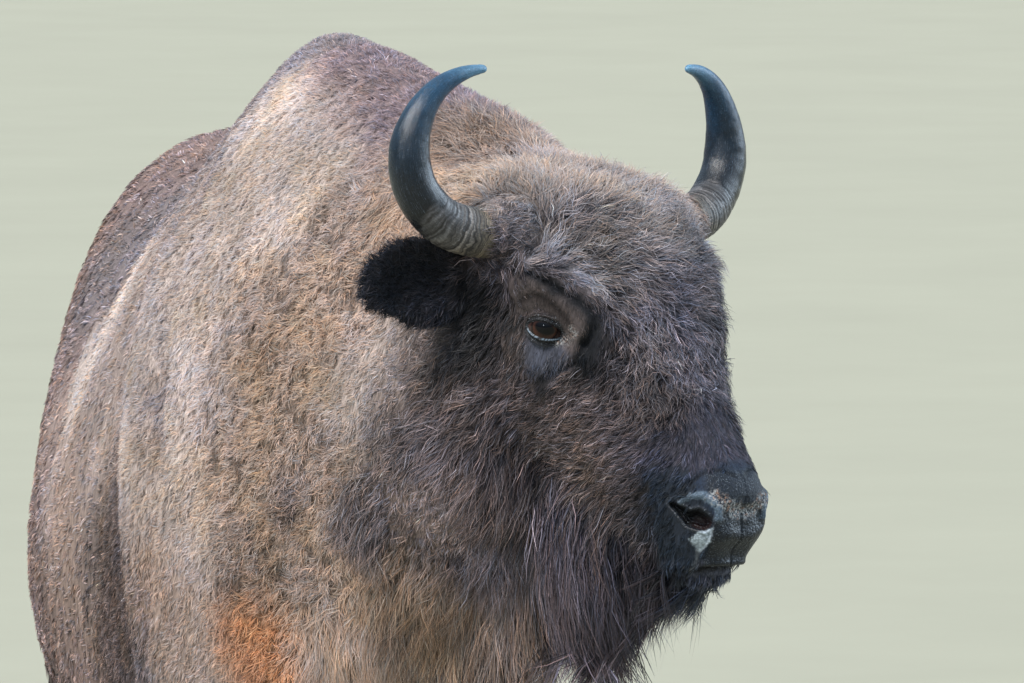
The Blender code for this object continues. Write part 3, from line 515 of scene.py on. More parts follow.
def growth_at(points):
    """The coat's numbers at each point, blended from the rows near it."""
    rows = growth_rows()
    total = np.zeros((len(points), rows.shape[1] - 4))
    weights = np.full(len(points), 1e-12)
    for row in rows:
        away = ((points - row[:3]) ** 2).sum(axis=1) / row[3] ** 2
        weight = np.exp(-2 * away) * max(1.0, 0.016 / row[3]) ** 2 + 1e-5 / (1 + away) ** 3
        total += weight[:, None] * row[4:]
        weights += weight
    return total / weights[:, None]


# ---------------------------------------------------------------- the skin


def swollen(node, swell):
    """A welded copy of a CAD node as a bmesh, its surface moved out a little."""
    bm = bmesh.new()
    bm.from_mesh(nodes[node].data)
    bmesh.ops.remove_doubles(bm, verts=bm.verts, dist=1e-5)
    bm.normal_update()
    for vertex, normal in [(v, v.normal.copy()) for v in bm.verts]:
        vertex.co += normal * swell
    return bm


def lifted(bm, share):
    """Draws the lower end of hanging hair up, as the mass under it ends higher than its tips."""
    top = max(v.co.z for v in bm.verts)
    for vertex in bm.verts:
        vertex.co.z = top - (top - vertex.co.z) * share


def skin_mesh():
    joined = bmesh.new()
    for name in FLESH + HANGING + ["eye_l", "eye_r"]:
        bm = swollen(name, SWELL)
        if name in HANGING:
            lifted(bm, MASS_SHARES[name])
        part = bpy.data.meshes.new("part")
        bm.to_mesh(part)
        bm.free()
        joined.from_mesh(part)
        bpy.data.meshes.remove(part)
    mesh = bpy.data.meshes.new("skin")
    joined.to_mesh(mesh)
    joined.free()
    skin = new_object("skin", mesh)
    remesh = skin.modifiers.new("remesh", "REMESH")
    remesh.mode = "VOXEL"
    remesh.voxel_size = VOXEL
    smooth = skin.modifiers.new("smooth", "SMOOTH")
    smooth.factor = 0.5
    smooth.iterations = 4
    return with_modifiers(skin)


def refine(skin, near, rounds=2):
    """Halves the faces whose centres near() picks, and smooths what is new there."""
    with editing(skin.data) as bm:
        bm.faces.ensure_lookup_table()
        chosen = near(np.array([f.calc_center_median() for f in bm.faces]))
        edges = {e for f, keep in zip(bm.faces, chosen) if keep for e in f.edges}
        bmesh.ops.subdivide_edges(bm, edges=list(edges), cuts=1, use_grid_fill=True)
        bmesh.ops.triangulate(bm, faces=[f for f in bm.faces if len(f.verts) > 4])
        points = np.array([v.co for v in bm.verts])
        verts = [v for v, keep in zip(bm.verts, near(points)) if keep]
        axes = {"use_axis_x": True, "use_axis_y": True, "use_axis_z": True}
        for _ in range(rounds):
            bmesh.ops.smooth_vert(bm, verts=verts, factor=0.5, **axes)


def right_side(points):
    """The points on the head, those of the left side mirrored to the right."""
    h = to_head(points)
    h[:, 1] = -np.abs(h[:, 1])
    return h


def near_any(*spots):
    """Whether points are near any of these head places, each given with its reach, on either side."""

    def test(points):
        h = right_side(points)
        hit = np.zeros(len(points), bool)
        for along, side, out, reach in spots:
            hit |= ((h - (along, -side, out)) ** 2).sum(axis=1) < reach**2
        return hit

    return test


def is_head(points):
    """Whether points are in the box round the head."""
    h = to_head(points)
    return (h[:, 0] > -0.13) & (np.abs(h[:, 1]) < 0.33) & (h[:, 2] > -0.30) & (h[:, 2] < 0.14)


def spread(values, edges, rounds):
    """Averages values along the mesh's edges."""
    count = np.bincount(edges.ravel(), minlength=len(values)).astype(float)[:, None]
    for _ in range(rounds):
        total = np.zeros_like(values)
        for column in range(values.shape[1]):
            total[:, column] = np.bincount(edges[:, 0], values[edges[:, 1], column], len(values))
            total[:, column] += np.bincount(edges[:, 1], values[edges[:, 0], column], len(values))
        values = 0.5 * values + 0.5 * total / np.maximum(count, 1)
    return values


def nearest_node(points, names):
    """The index in names of the CAD node nearest each point."""
    verts, faces, owner = [], [], []
    for index, name in enumerate(names):
        mesh = nodes[name].data
        base = len(verts)
        verts.extend(v.co.copy() for v in mesh.vertices)
        faces.extend([base + i for i in p.vertices] for p in mesh.polygons)
        owner.extend([index] * len(mesh.polygons))
    tree = BVHTree.FromPolygons(verts, faces)
    return np.array([owner[tree.find_nearest(Vector(p))[2]] for p in points])


# The kind and tone of the parts whose coat is all of one kind.
ONE_KIND = {
    "beard": ("hang", "beard"),
    "throat_mane": ("hang", "beard"),
    "tail_tuft": ("tassel", "beard"),
    "ear_l": ("ear", "ear"),
    "ear_r": ("ear", "ear"),
    "tail": ("tail", "rump"),
}


def ear_line(side):
    """The ear's root and tip."""
    return from_level(-0.050, 0.118 * side, -0.072), from_level(-0.088, 0.275 * side, -0.086)


def horn_root(out):
    """The middle of the horn's root so far out from the head's midplane."""
    return from_level(-HORN_SET_BACK, out, HORN_ARC_CENTRE[1] - HORN_ARC_RADII["r"])


def plan_coat(mesh):
    """Every vertex's coat numbers (its kind's, its tone and its lie), and the CAD node it belongs to."""
    points = coordinates(mesh)
    names = FLESH + HANGING + EARS
    label = nearest_node(points, names)
    grow = growth_at(points)
    for name, (kind, tone) in ONE_KIND.items():
        mine = label == names.index(name)
        grow[mine, :FIELDS] = KINDS[kind]
        grow[mine, TONE] = TONES[tone]
        if name in EARS:
            base, tip = ear_line(1 if name == "ear_l" else -1)
            along = unit(tip - base)
            away = points[mine] - base
            away = away - along * (away @ along)[:, None]
            grow[mine, LIE] = unit(along * 0.8 + away / 0.05 * 0.9)
        else:
            grow[mine, LIE] = (0, 0, -1)
    mane = label == names.index("throat_mane")
    fade = ramp(points[mane, 2], 0.80, 1.05)[:, None]
    grow[mane, TONE] = np.array(TONES["sable"]) * fade + np.array(TONES["jowl"]) * (1 - fade)
    beard = label == names.index("beard")
    fade = ramp(on_muzzle(points[beard])[0][:, 0], -0.010, 0.045)[:, None]
    grow[beard, TONE] = np.array(TONES["beard"]) * (1.75 - 0.80 * fade)
    h = to_head(points)
    root = to_head(horn_root(0)[None])[0]
    off_axis = np.hypot(h[:, 0] - root[0], h[:, 2] - root[2])
    sleeve = ramp(np.abs(h[:, 1]), 0.095, 0.115) * (1 - ramp(off_axis, 0.046, 0.056))
    outward = np.sign(h[:, 1:2]) * AXES[1] * 0.9 + AXES[2] * 0.15
    grow[:, :FIELDS] += (np.array(KINDS["sleeve"]) - grow[:, :FIELDS]) * sleeve[:, None]
    grow[:, LIE] += (outward - grow[:, LIE]) * sleeve[:, None]
    grow = spread(grow, edges_of(mesh), 3)
    return grow, label


def ear_shape(side):
    """The ear's own mass under its hair: a rounded lobe, dished in front, its root in the head."""
    base, tip = ear_line(side)
    along = unit(tip - base)
    back = unit(np.cross(along, (0, 0, 1)))
    front = back * (1 if back @ (from_level(1, 0, 0) - HEAD_PLACE) > 0 else -1)
    broad = np.cross(front, along)
    rings, sides = 34, 44
    turn = np.linspace(0, 2 * math.pi, sides, endpoint=False)
    verts = []
    for t in np.linspace(-0.30, 0.955, rings):
        belly = math.sin(math.pi * (0.10 + 0.87 * max(t, 0.06)) ** 1.15)
        rounded = 1 if t < 0.9 else math.sqrt(max(0.05, 1 - ((t - 0.9) / 0.056) ** 2))
        half_breadth = max(0.010 + 0.049 * belly**0.6 - 0.009, 0.002) * rounded
        half_thick = max(0.006 + 0.017 * belly - 0.008, 0.0015)
        centre = base + (tip - base) * t - np.array((0, 0, 0.004)) * max(t, 0) ** 2
        dish = 0.75 * ramp(t, 0.12, 0.35) * (1 - ramp(t, 0.70, 0.92))
        deep = np.sin(turn) - dish * 1.9 * np.maximum(np.sin(turn), 0) ** 3
        lower = 1 - 0.45 * ramp(t, 0.35, 0.90) * ramp(-np.cos(turn) * np.sign(broad[2]), 0.0, 0.8)
        wide = (np.cos(turn) * lower)[:, None] * broad * half_breadth
        verts.append(centre + wide + deep[:, None] * front * half_thick)
    return loft("ear", np.array(verts))


def collar_shape(side):
    """The skin that rises round a horn's root."""
    rings, sides = 26, 48
    turn = np.linspace(0, 2 * math.pi, sides, endpoint=False)
    verts = []
    for out in np.linspace(COLLAR_OUT[0], COLLAR_OUT[-1], rings):
        uneven = 1 + 0.05 * np.sin(3 * turn + 1) + 0.03 * np.sin(7 * turn)
        radius = np.interp(out, COLLAR_OUT, COLLAR_RADII) * uneven
        centre = horn_root(out * side)
        ring = np.cos(turn)[:, None] * AXES[0] + np.sin(turn)[:, None] * AXES[2]
        lean = AXES[1] * side * 0.010 * np.sin(turn + 0.6)[:, None]
        verts.append(centre + ring * radius[:, None] + lean)
    return loft("collar", np.array(verts))


def ring_mesh(name, verts, rings, sides, caps):
    """A closed surface over rings of points, with the faces of its ends given."""
    faces = []
    for i in range(rings - 1):
        for j in range(sides):
            k = (j + 1) % sides
            faces.append((i * sides + j, i * sides + k, (i + 1) * sides + k, (i + 1) * sides + j))
    mesh = bpy.data.meshes.new(name)
    mesh.from_pydata([tuple(v) for v in verts], [], faces + caps)
    with editing(mesh) as bm:
        bmesh.ops.recalc_face_normals(bm, faces=bm.faces[:])
    return mesh


def loft(name, verts):
    rings, sides = verts.shape[:2]
    caps = [tuple(range(sides))[::-1], tuple((rings - 1) * sides + j for j in range(sides))]
    return new_object(name, ring_mesh(name, verts.reshape(-1, 3), rings, sides, caps))


def add_outgrowths(skin):
    """Joins the ears and the horns' collars to the drawn-in skin."""
    for shape in (ear_shape, collar_shape):
        for side in (1, -1):
            grown = shape(side)
            union = skin.modifiers.new("union", "BOOLEAN")
            union.operation, union.solver, union.object = "UNION", "EXACT", grown
            with_modifiers(skin)
            bpy.data.objects.remove(grown)
    with editing(skin.data) as bm:
        bmesh.ops.triangulate(bm, faces=[f for f in bm.faces if len(f.verts) > 4])


def to_level(points):
    """Points as forward along the head's heading, to its left, and above its place."""
    h = to_head(points)
    forward = h[:, 0] * math.cos(DIP) + h[:, 2] * math.sin(DIP)
    above = h[:, 2] * math.cos(DIP) - h[:, 0] * math.sin(DIP)
    return np.stack([forward, h[:, 1], above], axis=1)


# ---------------------------------------------------------------- the face

EYE_TURN, EYE_DROP = 42.0, 17.0  # where the opening looks: from straight ahead, and below level
LID_TILT = 16.0  # the inner corner is the lower
GAZE_ACROSS, GAZE_RISE = -11.0, 8.0  # where the iris looks, from the opening's own axis, in degrees
LID_ACROSS = (-77.0, -67.0, -55.0, -41.0, -20.0, 5.0, 26.0, 50.0, 64.0, 76.0)  # degrees round the eyeball
LID_UPPER = (-11.0, 0.0, 11.0, 21.0, 27.0, 26.0, 19.0, 7.0, 0.0, -6.0)
LID_LOWER = (-11.0, -16.0, -20.0, -23.0, -24.0, -21.0, -15.0, -10.0, -8.0, -6.0)


# The grooves of the upper lid: place out from its edge, width and depth.
UPPER_GROOVES = ((0.0042, 0.0010, 0.0022), (0.0078, 0.0010, 0.0016), (0.0125, 0.0016, 0.0024))


def eye_centre(side):
    return middle_of("eye_l" if side > 0 else "eye_r")


def near_eye(points, side):
    """Which points are near an eye."""
    return np.flatnonzero(((points - eye_centre(side)) ** 2).sum(axis=1) < 0.050**2)


def eye_axes(side):
    """The eye's own axes: towards the inner corner, up, and out through the middle of the opening."""
    turn, drop = math.radians(EYE_TURN), math.radians(EYE_DROP)
    level = LEVEL_AHEAD * math.cos(turn) + np.array([0, side, 0]) * math.sin(turn)
    out = unit(level * math.cos(drop) - LEVEL_UP * math.sin(drop))
    across = unit(np.cross(out, LEVEL_UP) * side)
    rise = unit(LEVEL_UP - out * (LEVEL_UP @ out))
    tilt = math.radians(LID_TILT)
    inner = across * math.cos(tilt) - rise * math.sin(tilt)
    rise = rise * math.cos(tilt) + across * math.sin(tilt)
    return np.array([inner, rise, out]) @ AXES


def lid_edges(across):
    """The upper and lower lid's edges at angles across the eyeball, all in radians."""
    degrees = np.degrees(across)
    return tuple(np.radians(np.interp(degrees, LID_ACROSS, edge)) for edge in (LID_UPPER, LID_LOWER))


def lid_distance(points, side):
    """How far points lie outside the opening's edge along the eyeball, in metres.

    Also their angles up and across it, their distance from its centre, and their place on its axes.
    """
    centre = eye_centre(side)
    local = (points - centre) @ eye_axes(side).T
    radius = np.linalg.norm(local, axis=1)
    across = np.arctan2(local[:, 0], local[:, 2])
    rise = np.arcsin(np.clip(local[:, 1] / np.maximum(radius, 1e-6), -1, 1))
    x = np.radians(np.linspace(LID_ACROSS[0], LID_ACROSS[-1], 61))
    top, foot = lid_edges(x)
    smooth = np.ones(7) / 7
    top[3:-3], foot[3:-3] = np.convolve(top, smooth, "valid"), np.convolve(foot, smooth, "valid")
    outline = np.vstack([np.stack([x, top], axis=1), np.stack([x, foot], axis=1)[::-1]])
    spots = np.stack([across, rise], axis=1)
    return line_distance(spots, outline, closed=True) * EYE_RADIUS, rise, across, radius, local


def shape_lids(points):
    """Lids that follow the eyeball, with a rim, and grooves and a swell above and below."""
    for side in (1, -1):
        centre = eye_centre(side)
        close = near_eye(points, side)
        edge, rise, _, radius, local = lid_distance(points[close], side)
        front = ramp(local[:, 2], -0.012, 0.002)
        lid = EYE_RADIUS - 0.0006 + np.maximum(edge, -0.0045) * 0.8
        rim = 0.0020 * ramp(edge, 0, 0.0012)
        outside = EYE_RADIUS - 0.0002 + rim + 0.10 * np.clip(edge - 0.0014, 0, 0.012)
        above = ramp(rise, -0.15, 0.12)
        for place, width, depth in UPPER_GROOVES:
            outside -= depth * above * bell(edge - place, width)
        outside += 0.0016 * above * bell(edge - 0.0060, 0.0014)
        outside -= 0.0024 * (1 - above) * bell(edge - 0.0056, 0.0014)
        outside += 0.0010 * (1 - above) * bell(edge - 0.0085, 0.0018)
        lid = np.where(edge < 0, lid, outside)
        blend = (1 - ramp(edge, 0.009, 0.019)) * front * (1 - ramp(radius, 0.030, 0.042))
        wanted = centre + (points[close] - centre) / radius[:, None] * lid[:, None]
        points[close] += (wanted - points[close]) * blend[:, None]
    return points


# The muzzle's marks are drawn on a plane that faces out of the nostril, across and up in metres from the
# head's place, for the right side; the left is its mirror image.
NOSTRIL_FACES = np.array((0.4485, -0.6912, 0.5666))
NOSTRIL = (
    (0.0947, -0.3254), (0.1014, -0.3243), (0.1104, -0.3311), (0.1194, -0.3356), (0.1284, -0.3333),
    (0.1352, -0.3367), (0.1419, -0.3434), (0.1442, -0.3491), (0.1419, -0.3547), (0.1363, -0.3587),
    (0.1284, -0.3569), (0.1206, -0.3547), (0.1149, -0.3524), (0.1082, -0.3434), (0.1014, -0.3356),
    (0.0958, -0.3299),
)
RIDGE = (
    (0.1082, -0.3254), (0.1194, -0.3187), (0.1329, -0.3176), (0.1442, -0.3243), (0.1509, -0.3344),
    (0.1509, -0.3434),
)
PATCH = ((0.1450, -0.3540), (0.1425, -0.3704), (0.1307, -0.3825), (0.1176, -0.3672), (0.1280, -0.3600))
TRAIL = ((0.1275, -0.3794), (0.1273, -0.3929), (0.1239, -0.3963))
CRUST = ((0.1480, -0.3204), (0.1600, -0.3274), (0.1700, -0.3344))
NOSE_FOLD = ((0.1180, -0.3060), (0.1270, -0.2965), (0.1400, -0.2905), (0.1540, -0.2900), (0.1680, -0.2960))
PAD_EDGE = ((0.1540, -0.3194), (0.1470, -0.3444), (0.1420, -0.3744), (0.1340, -0.4004))


def on_muzzle(points):
    """Each point's place on the nostril's plane, and how much it is on the muzzle at all."""
    up = unit(LEVEL_UP - NOSTRIL_FACES * (LEVEL_UP @ NOSTRIL_FACES))
    across = np.cross(up, NOSTRIL_FACES)
    h = right_side(points)
    return np.stack([h @ across, h @ up], axis=1), ramp(h[:, 0], 0.325, 0.345)


def line_distance(spots, line, closed=False):
    """The distance of each spot from a line of points, below 0 inside it where it is closed."""
    corners = np.array(line)
    ends = np.roll(corners, -1, axis=0) if closed else corners[1:]
    gap = np.full(len(spots), 9.0)
    inside = np.zeros(len(spots), bool)
    for a, b in zip(corners, ends):
        run = b - a
        t = np.clip((spots - a) @ run / max(run @ run, 1e-12), 0, 1)
        gap = np.minimum(gap, np.linalg.norm(spots - a - t[:, None] * run, axis=1))
        crosses = (a[1] > spots[:, 1]) != (b[1] > spots[:, 1])
        inside ^= crosses & (spots[:, 0] < a[0] + (spots[:, 1] - a[1]) * run[0] / (run[1] or 1e-9))
    return np.where(inside, -gap, gap) if closed else gap


def push(points, ways, amounts):
    return points + ways * amounts[:, None]


def press(points, place, reach, move):
    """Moves points near a head place by up to move, within three reaches."""
    away = (to_head(points) - place) / reach
    return points + np.exp(-2 * (away**2).sum(axis=1))[:, None] * (np.array(move) @ AXES)


# The line of the mouth: its height under the head's place, so far forward of it, and its slope.
MOUTH_HEIGHT, MOUTH_FORWARD, MOUTH_SLOPE = -0.3895, 0.24, 0.10


def mouth_distance(points):
    """How far above the line of the mouth points are, and how much of the line there is there."""
    level = to_level(points)
    line = MOUTH_HEIGHT + (level[:, 0] - MOUTH_FORWARD) * MOUTH_SLOPE
    there = ramp(level[:, 0], 0.125, 0.165) * (1 - ramp(np.abs(level[:, 1]), 0.075, 0.09))
    return level[:, 2] - line, there


# Where the muzzle and the inner corner of the eye are pressed in or out: place, reach and move, for the
# middle of the face and for its left side, in the head's axes.
MIDDLE_PRESSES = (
    ((0.448, 0.0, -0.070), (0.030, 0.045, 0.026), (-0.010, 0, -0.004)),
    ((0.431, 0.0, -0.037), (0.024, 0.042, 0.022), (-0.008, 0, -0.008)),
    ((0.419, 0.0, -0.027), (0.018, 0.050, 0.016), (-0.008, 0, -0.008)),
)
SIDE_PRESSES = (
    ((0.158, 0.117, -0.032), (0.017, 0.020, 0.017), (-0.4485 * 0.014, -0.6912 * 0.014, -0.5666 * 0.014)),
    ((0.425, 0.032, -0.032), (0.018, 0.022, 0.018), (-0.005, -0.004, -0.004)),
    ((0.428, 0.040, -0.085), (0.020, 0.018, 0.022), (-0.005, 0, -0.005)),
    ((0.372, 0.064, -0.085), (0.024, 0.020, 0.022), (0, 0.004, 0)),
)


def shape_muzzle(points, normals):
    """Nostrils under a raised ridge, the nose pad's flat front and groove, and the line of the mouth."""
    for place, reach, move in MIDDLE_PRESSES:
        points = press(points, place, reach, move)
    for side in (1, -1):
        flip = np.array((1, side, 1))
        for place, reach, move in SIDE_PRESSES:
            points = press(points, flip * place, reach, flip * move)
    spots, there = on_muzzle(points)

    def along(line, height, width):
        return push(points, normals, there * height * bell(line_distance(spots, line), width))

    points = along(RIDGE, 0.0035, 0.0045)
    gap = line_distance(spots, NOSTRIL, closed=True)
    mirror = np.where(to_head(points)[:, 1:2] > 0, -1.0, 1.0)
    inward = -(NOSTRIL_FACES * np.hstack([mirror**2, mirror, mirror**2])) @ AXES
    sunk = 0.015 * ramp(-gap, -0.0004, 0.0035) + 0.006 * ramp(-gap, 0.0035, 0.0075)
    points = push(points, inward, there * sunk)
    points = push(points, normals, there * 0.0014 * bell(gap - 0.0022, 0.0018))
    points = along(NOSE_FOLD, -0.0026, 0.0022)
    points = along(PAD_EDGE, -0.0012, 0.0016)
    level = to_level(points)
    groove = bell(level[:, 1], 0.0016) * ramp(level[:, 0], 0.215, 0.235)
    points = push(points, normals, -(0.0016 * groove))
    above, there = mouth_distance(points)
    points = push(points, normals, -(there * 0.0085 * bell(above, 0.0024)))
    points = push(points, normals, there * 0.0024 * bell(above - 0.0065, 0.004))
    return points


# Lines down the right side, each a run of points from its top: the rear edge of the shoulder's long coat,
# and the hollow between barrel and rump. Points are x, y, z in metres.
SHOULDER_EDGE = (
    (-0.179, -0.376, 1.580), (-0.217, -0.411, 1.498), (-0.252, -0.465, 1.409), (-0.270, -0.509, 1.319),
    (-0.279, -0.541, 1.229), (-0.286, -0.556, 1.137), (-0.294, -0.545, 1.043), (-0.297, -0.517, 0.958),
)
FLANK_EDGE = (
    (-0.166, 0.427, 1.465), (-0.229, 0.403, 1.399), (-0.271, 0.346, 1.337), (-0.295, 0.293, 1.295),
    (-0.315, 0.259, 1.246), (-0.334, 0.216, 1.189),
)


def behind(points, line):
    """How far points are behind a line down either side, and how much the line reaches their height."""
    line = np.array(line[::-1])
    x = np.interp(points[:, 2], line[:, 2], line[:, 0])
    y = np.interp(points[:, 2], line[:, 2], line[:, 1])
    side = MIDPLANE - np.abs(points[:, 0] - MIDPLANE)
    away = np.hypot(side - x, points[:, 1] - y) * np.where(points[:, 1] > y, 1, -1)
    over_foot = ramp(points[:, 2], line[0, 2] - 0.10, line[0, 2] + 0.05)
    over_top = ramp(points[:, 2], line[-1, 2] - 0.03, line[-1, 2] + 0.06)
    return away, over_foot * (1 - over_top) * (points[:, 1] > -0.9)


def shape_trunk(points, normals):
    """The step where the shoulder's long coat ends, and the hollow of the flank."""
    away, there = behind(points, SHOULDER_EDGE)
    step = 0.008 * bell(away + 0.012, 0.022) - 0.016 * bell(away - 0.030, 0.026)
    points = push(points, normals, there * step)
    away, there = behind(points, FLANK_EDGE)
    step = 0.006 * bell(away + 0.02, 0.04) - 0.016 * bell(away - 0.05, 0.045)
    return push(points, normals, there * step)


# Lines round the eye, on the same plane as the muzzle's marks: the fold under the brow's hair, the
# crease that runs down from it and the one back across the cheek, all three painted shade, the painted
# shade over the lid, the brow's bands (the light one partly pale hair, partly a painted highlight) and the
# crust at the eye's inner corner.
BROW_FOLD = (
    (-0.0828, -0.0680), (-0.0669, -0.0714), (-0.0533, -0.0771), (-0.0420, -0.0828), (-0.0306, -0.0896),
    (-0.0181, -0.0964), (-0.0068, -0.1020), (0.0045, -0.1088), (0.0113, -0.1179), (0.0102, -0.1293),
    (0.0034, -0.1417), (-0.0034, -0.1519),
)
CHEEK_FOLD = ((-0.0034, -0.1519), (-0.0057, -0.1655), (-0.0034, -0.1814), (0.0011, -0.1973))
CREASE = ((-0.0102, -0.1701), (-0.0261, -0.1769), (-0.0408, -0.1848), (-0.0533, -0.1950))
LID_SHADE = (
    (-0.0760, -0.1043), (-0.0692, -0.0986), (-0.0601, -0.0964), (-0.0488, -0.1009), (-0.0374, -0.1088),
    (-0.0272, -0.1190), (-0.0215, -0.1281),
)
CORNER_SHADE = ((-0.0918, -0.1213), (-0.0839, -0.1236), (-0.0760, -0.1259))
BROW_LIGHT = (
    (-0.0646, -0.0544), (-0.0488, -0.0533), (-0.0329, -0.0567), (-0.0193, -0.0635), (-0.0057, -0.0714),
    (0.0079, -0.0828),
)
BROW_BAND = (
    (-0.0612, -0.0646), (-0.0420, -0.0692), (-0.0261, -0.0771), (-0.0102, -0.0862), (0.0057, -0.0964),
    (0.0193, -0.1088),
)
SIDE_BAND = ((0.0215, -0.1111), (0.0283, -0.1247), (0.0283, -0.1451), (0.0204, -0.1678))
EYE_CRUST = ((-0.0329, -0.1474), (-0.0227, -0.1463), (-0.0147, -0.1406), (-0.0170, -0.1315))
EYE_REGION, EYE_REACH = (0.140, -0.120, -0.030), 0.085  # where those lines hold, on the head


def fold_at(points, fold, width):
    """How much of a line round the eye is at each point, on either side of the face."""
    away = np.linalg.norm(right_side(points) - EYE_REGION, axis=1)
    close = 1 - ramp(away, EYE_REACH, EYE_REACH + 0.02)
    return close * bell(line_distance(on_muzzle(points)[0], fold), width)


def draw_in(skin, grow):
    """Moves the surface in by the coat's depth, then sculpts the face on it."""
    mesh = skin.data
    points = coordinates(mesh)
    facing = unit(spread(normals_of(mesh), edges_of(mesh), 2))
    points = push(points, facing, -(grow[:, DEPTH] * 0.001))
    points = shape_trunk(points, facing)
    place_vertices(mesh, points)
    facing = normals_of(mesh)
    points = shape_muzzle(points, facing)
    for fold, width, depth in (
        (BROW_FOLD, 0.0060, 0.0080),
        (CHEEK_FOLD, 0.005, 0.003),
        (CREASE, 0.004, 0.003),
        (LID_SHADE, 0.003, 0.0015),
    ):
        points = push(points, facing, -(depth * fold_at(points, fold, width)))
    points = shape_lids(points)
    place_vertices(mesh, points)


def near_pad(points):
    """How much of a point's place is the bare nose pad."""
    level = to_level(points)
    spots, there = on_muzzle(points)
    edge = np.array(PAD_EDGE)[::-1]
    left = np.interp(spots[:, 1], edge[:, 1], edge[:, 0])
    pad = there * ramp(spots[:, 0] - left, -0.002, 0.001) * ramp(level[:, 2], -0.392, -0.386)
    return pad * (1 - ramp(spots[:, 1], -0.3284, -0.3204))


def face_masks(points, grow):
    """The tones with the face's own markings and with painted shade and highlights round the eyes and nose,
    and its marks: bare skin, crust and wetness as one colour.
    """
    tone = grow[:, TONE].copy()
    bare = near_pad(points)
    wet = bare * 0.5
    spots, there = on_muzzle(points)
    ragged = 0.0016 * noise(points, 0.006, 41) + 0.0010 * noise(points, 0.0025, 42)

    def paint(mask, colour):
        tone[:] = tone * (1 - mask[:, None]) + np.array(colour) * mask[:, None]

    def drawn(line, unevenness, low, high, closed=False):
        return (1 - ramp(line_distance(spots, line, closed) + ragged * unevenness, low, high)) * there

    gap = line_distance(spots, NOSTRIL, closed=True)
    ridge = drawn(RIDGE, 1, 0.0028, 0.0062)
    patch = drawn(PATCH, 0.6, -0.0014, 0.0014, closed=True)
    trail = drawn(TRAIL, 0.6, 0.0010, 0.0026)
    crust = drawn(CRUST, 2, 0.0050, 0.0110)
    top = there * ramp(spots[:, 0], 0.128, 0.142) * ramp(spots[:, 1], -0.334, -0.318)
    top = top * (1 - ramp(spots[:, 1], -0.296, -0.284))
    rim = (1 - ramp(gap, 0.001, 0.006)) * there
    hole = (1 - ramp(gap, -0.0022, 0.0004)) * there
    bare = np.maximum.reduce([bare, rim, ridge * 0.9, ramp(patch, 0.25, 0.5), top * 0.85])
    paint(np.maximum.reduce([bare, ridge, rim]), (0.006, 0.009, 0.015))
    # Painted shade along the fold over the nostril.
    fold = line_distance(spots, NOSE_FOLD)
    paint(there * 0.7 * bell(fold, 0.0020), TONES["hollow"])
    # A painted highlight: pale blue along the ridge over the nostril.
    paint(ridge * (0.50 + 0.25 * noise(points, 0.008, 43)), (0.12, 0.17, 0.23))
    paint(patch * 0.9, (0.41, 0.48, 0.54))
    paint(trail * 0.22, (0.40, 0.43, 0.45))
    lobe = hole * ramp(spots[:, 0], 0.118, 0.128) * (1 - ramp(spots[:, 1], -0.346, -0.340))
    # Painted shade deep in the nostril: near black.
    paint(hole, (0.004, 0.004, 0.005))
    paint(lobe * 0.8, (0.030, 0.014, 0.014))
    wet = np.maximum(wet, rim * 0.3)

    for side in (1, -1):
        close = near_eye(points, side)
        edge, rise, across, radius, local = lid_distance(points[close], side)
        front = (local[:, 2] > 0) * (1 - ramp(radius, 0.0275, 0.0315))
        lid = np.zeros(len(points))
        above = ramp(rise, -0.15, 0.12)
        lid[close] = (1 - ramp(edge, 0.0070, 0.0105)) * front
        bare = np.maximum(bare, lid)
        # The lids painted dark, with browner swells above: the dark is partly their own bare skin and
        # partly painted shade in the grooves between the swells.
        paint(lid, (0.010, 0.010, 0.013))
        swells = np.zeros(len(points))
        swells[close] = bell(edge - 0.0060, 0.0011) + bell(edge - 0.0101, 0.0014)
        swells[close] *= above * front
        paint(swells * 0.8, (0.050, 0.037, 0.036))
        # A painted reflection: a thin pale blue line along the wet rim of the lower lid.
        line = np.zeros(len(points))
        on_line = ramp(across, -1.30, -1.10) * (1 - ramp(across, 0.70, 1.00))
        on_line = (rise < lid_edges(across)[1] + 0.12) * on_line
        line[close] = (1 - ramp(np.abs(edge - 0.0008), 0.0001, 0.0005)) * on_line * front
        paint(line * 0.75, (0.22, 0.29, 0.36))
        wet = np.maximum(wet, line)
    inner = fold_at(points + ragged[:, None] * 1.5, EYE_CRUST, 0.0034)
    crust = np.maximum(crust, inner * 0.9)
    bare = np.maximum(bare, ramp(inner, 0.3, 0.8))
    # Painted shade over the lid, at the outer corner and in the three folds; the brow's light band is
    # partly pale hair and partly a painted highlight.
    for fold, width, share, colour in (
        (SIDE_BAND, 0.0090, 0.85, (0.050, 0.042, 0.048)),
        (BROW_BAND, 0.0055, 0.55, (0.140, 0.110, 0.118)),
        (BROW_LIGHT, 0.0046, 0.80, (0.440, 0.410, 0.440)),
        (LID_SHADE, 0.0055, 0.85, (0.014, 0.009, 0.009)),
        (CORNER_SHADE, 0.0050, 0.80, (0.010, 0.012, 0.013)),
        (CREASE, 0.0048, 0.85, TONES["hollow"]),
        (CHEEK_FOLD, 0.0060, 0.85, TONES["hollow"]),
        (BROW_FOLD, 0.0066, 1.00, TONES["hollow"]),
    ):
        paint(share * fold_at(points, fold, width), colour)
    above, there = mouth_distance(points)
    seam = there * (1 - ramp(np.abs(above), 0.0015, 0.0045))
    paint(seam, (0.012, 0.010, 0.010))
    bare = np.maximum(bare, seam * 0.8)
    return tone, np.stack([bare, crust, wet], axis=1)


# ---------------------------------------------------------------- the tufts


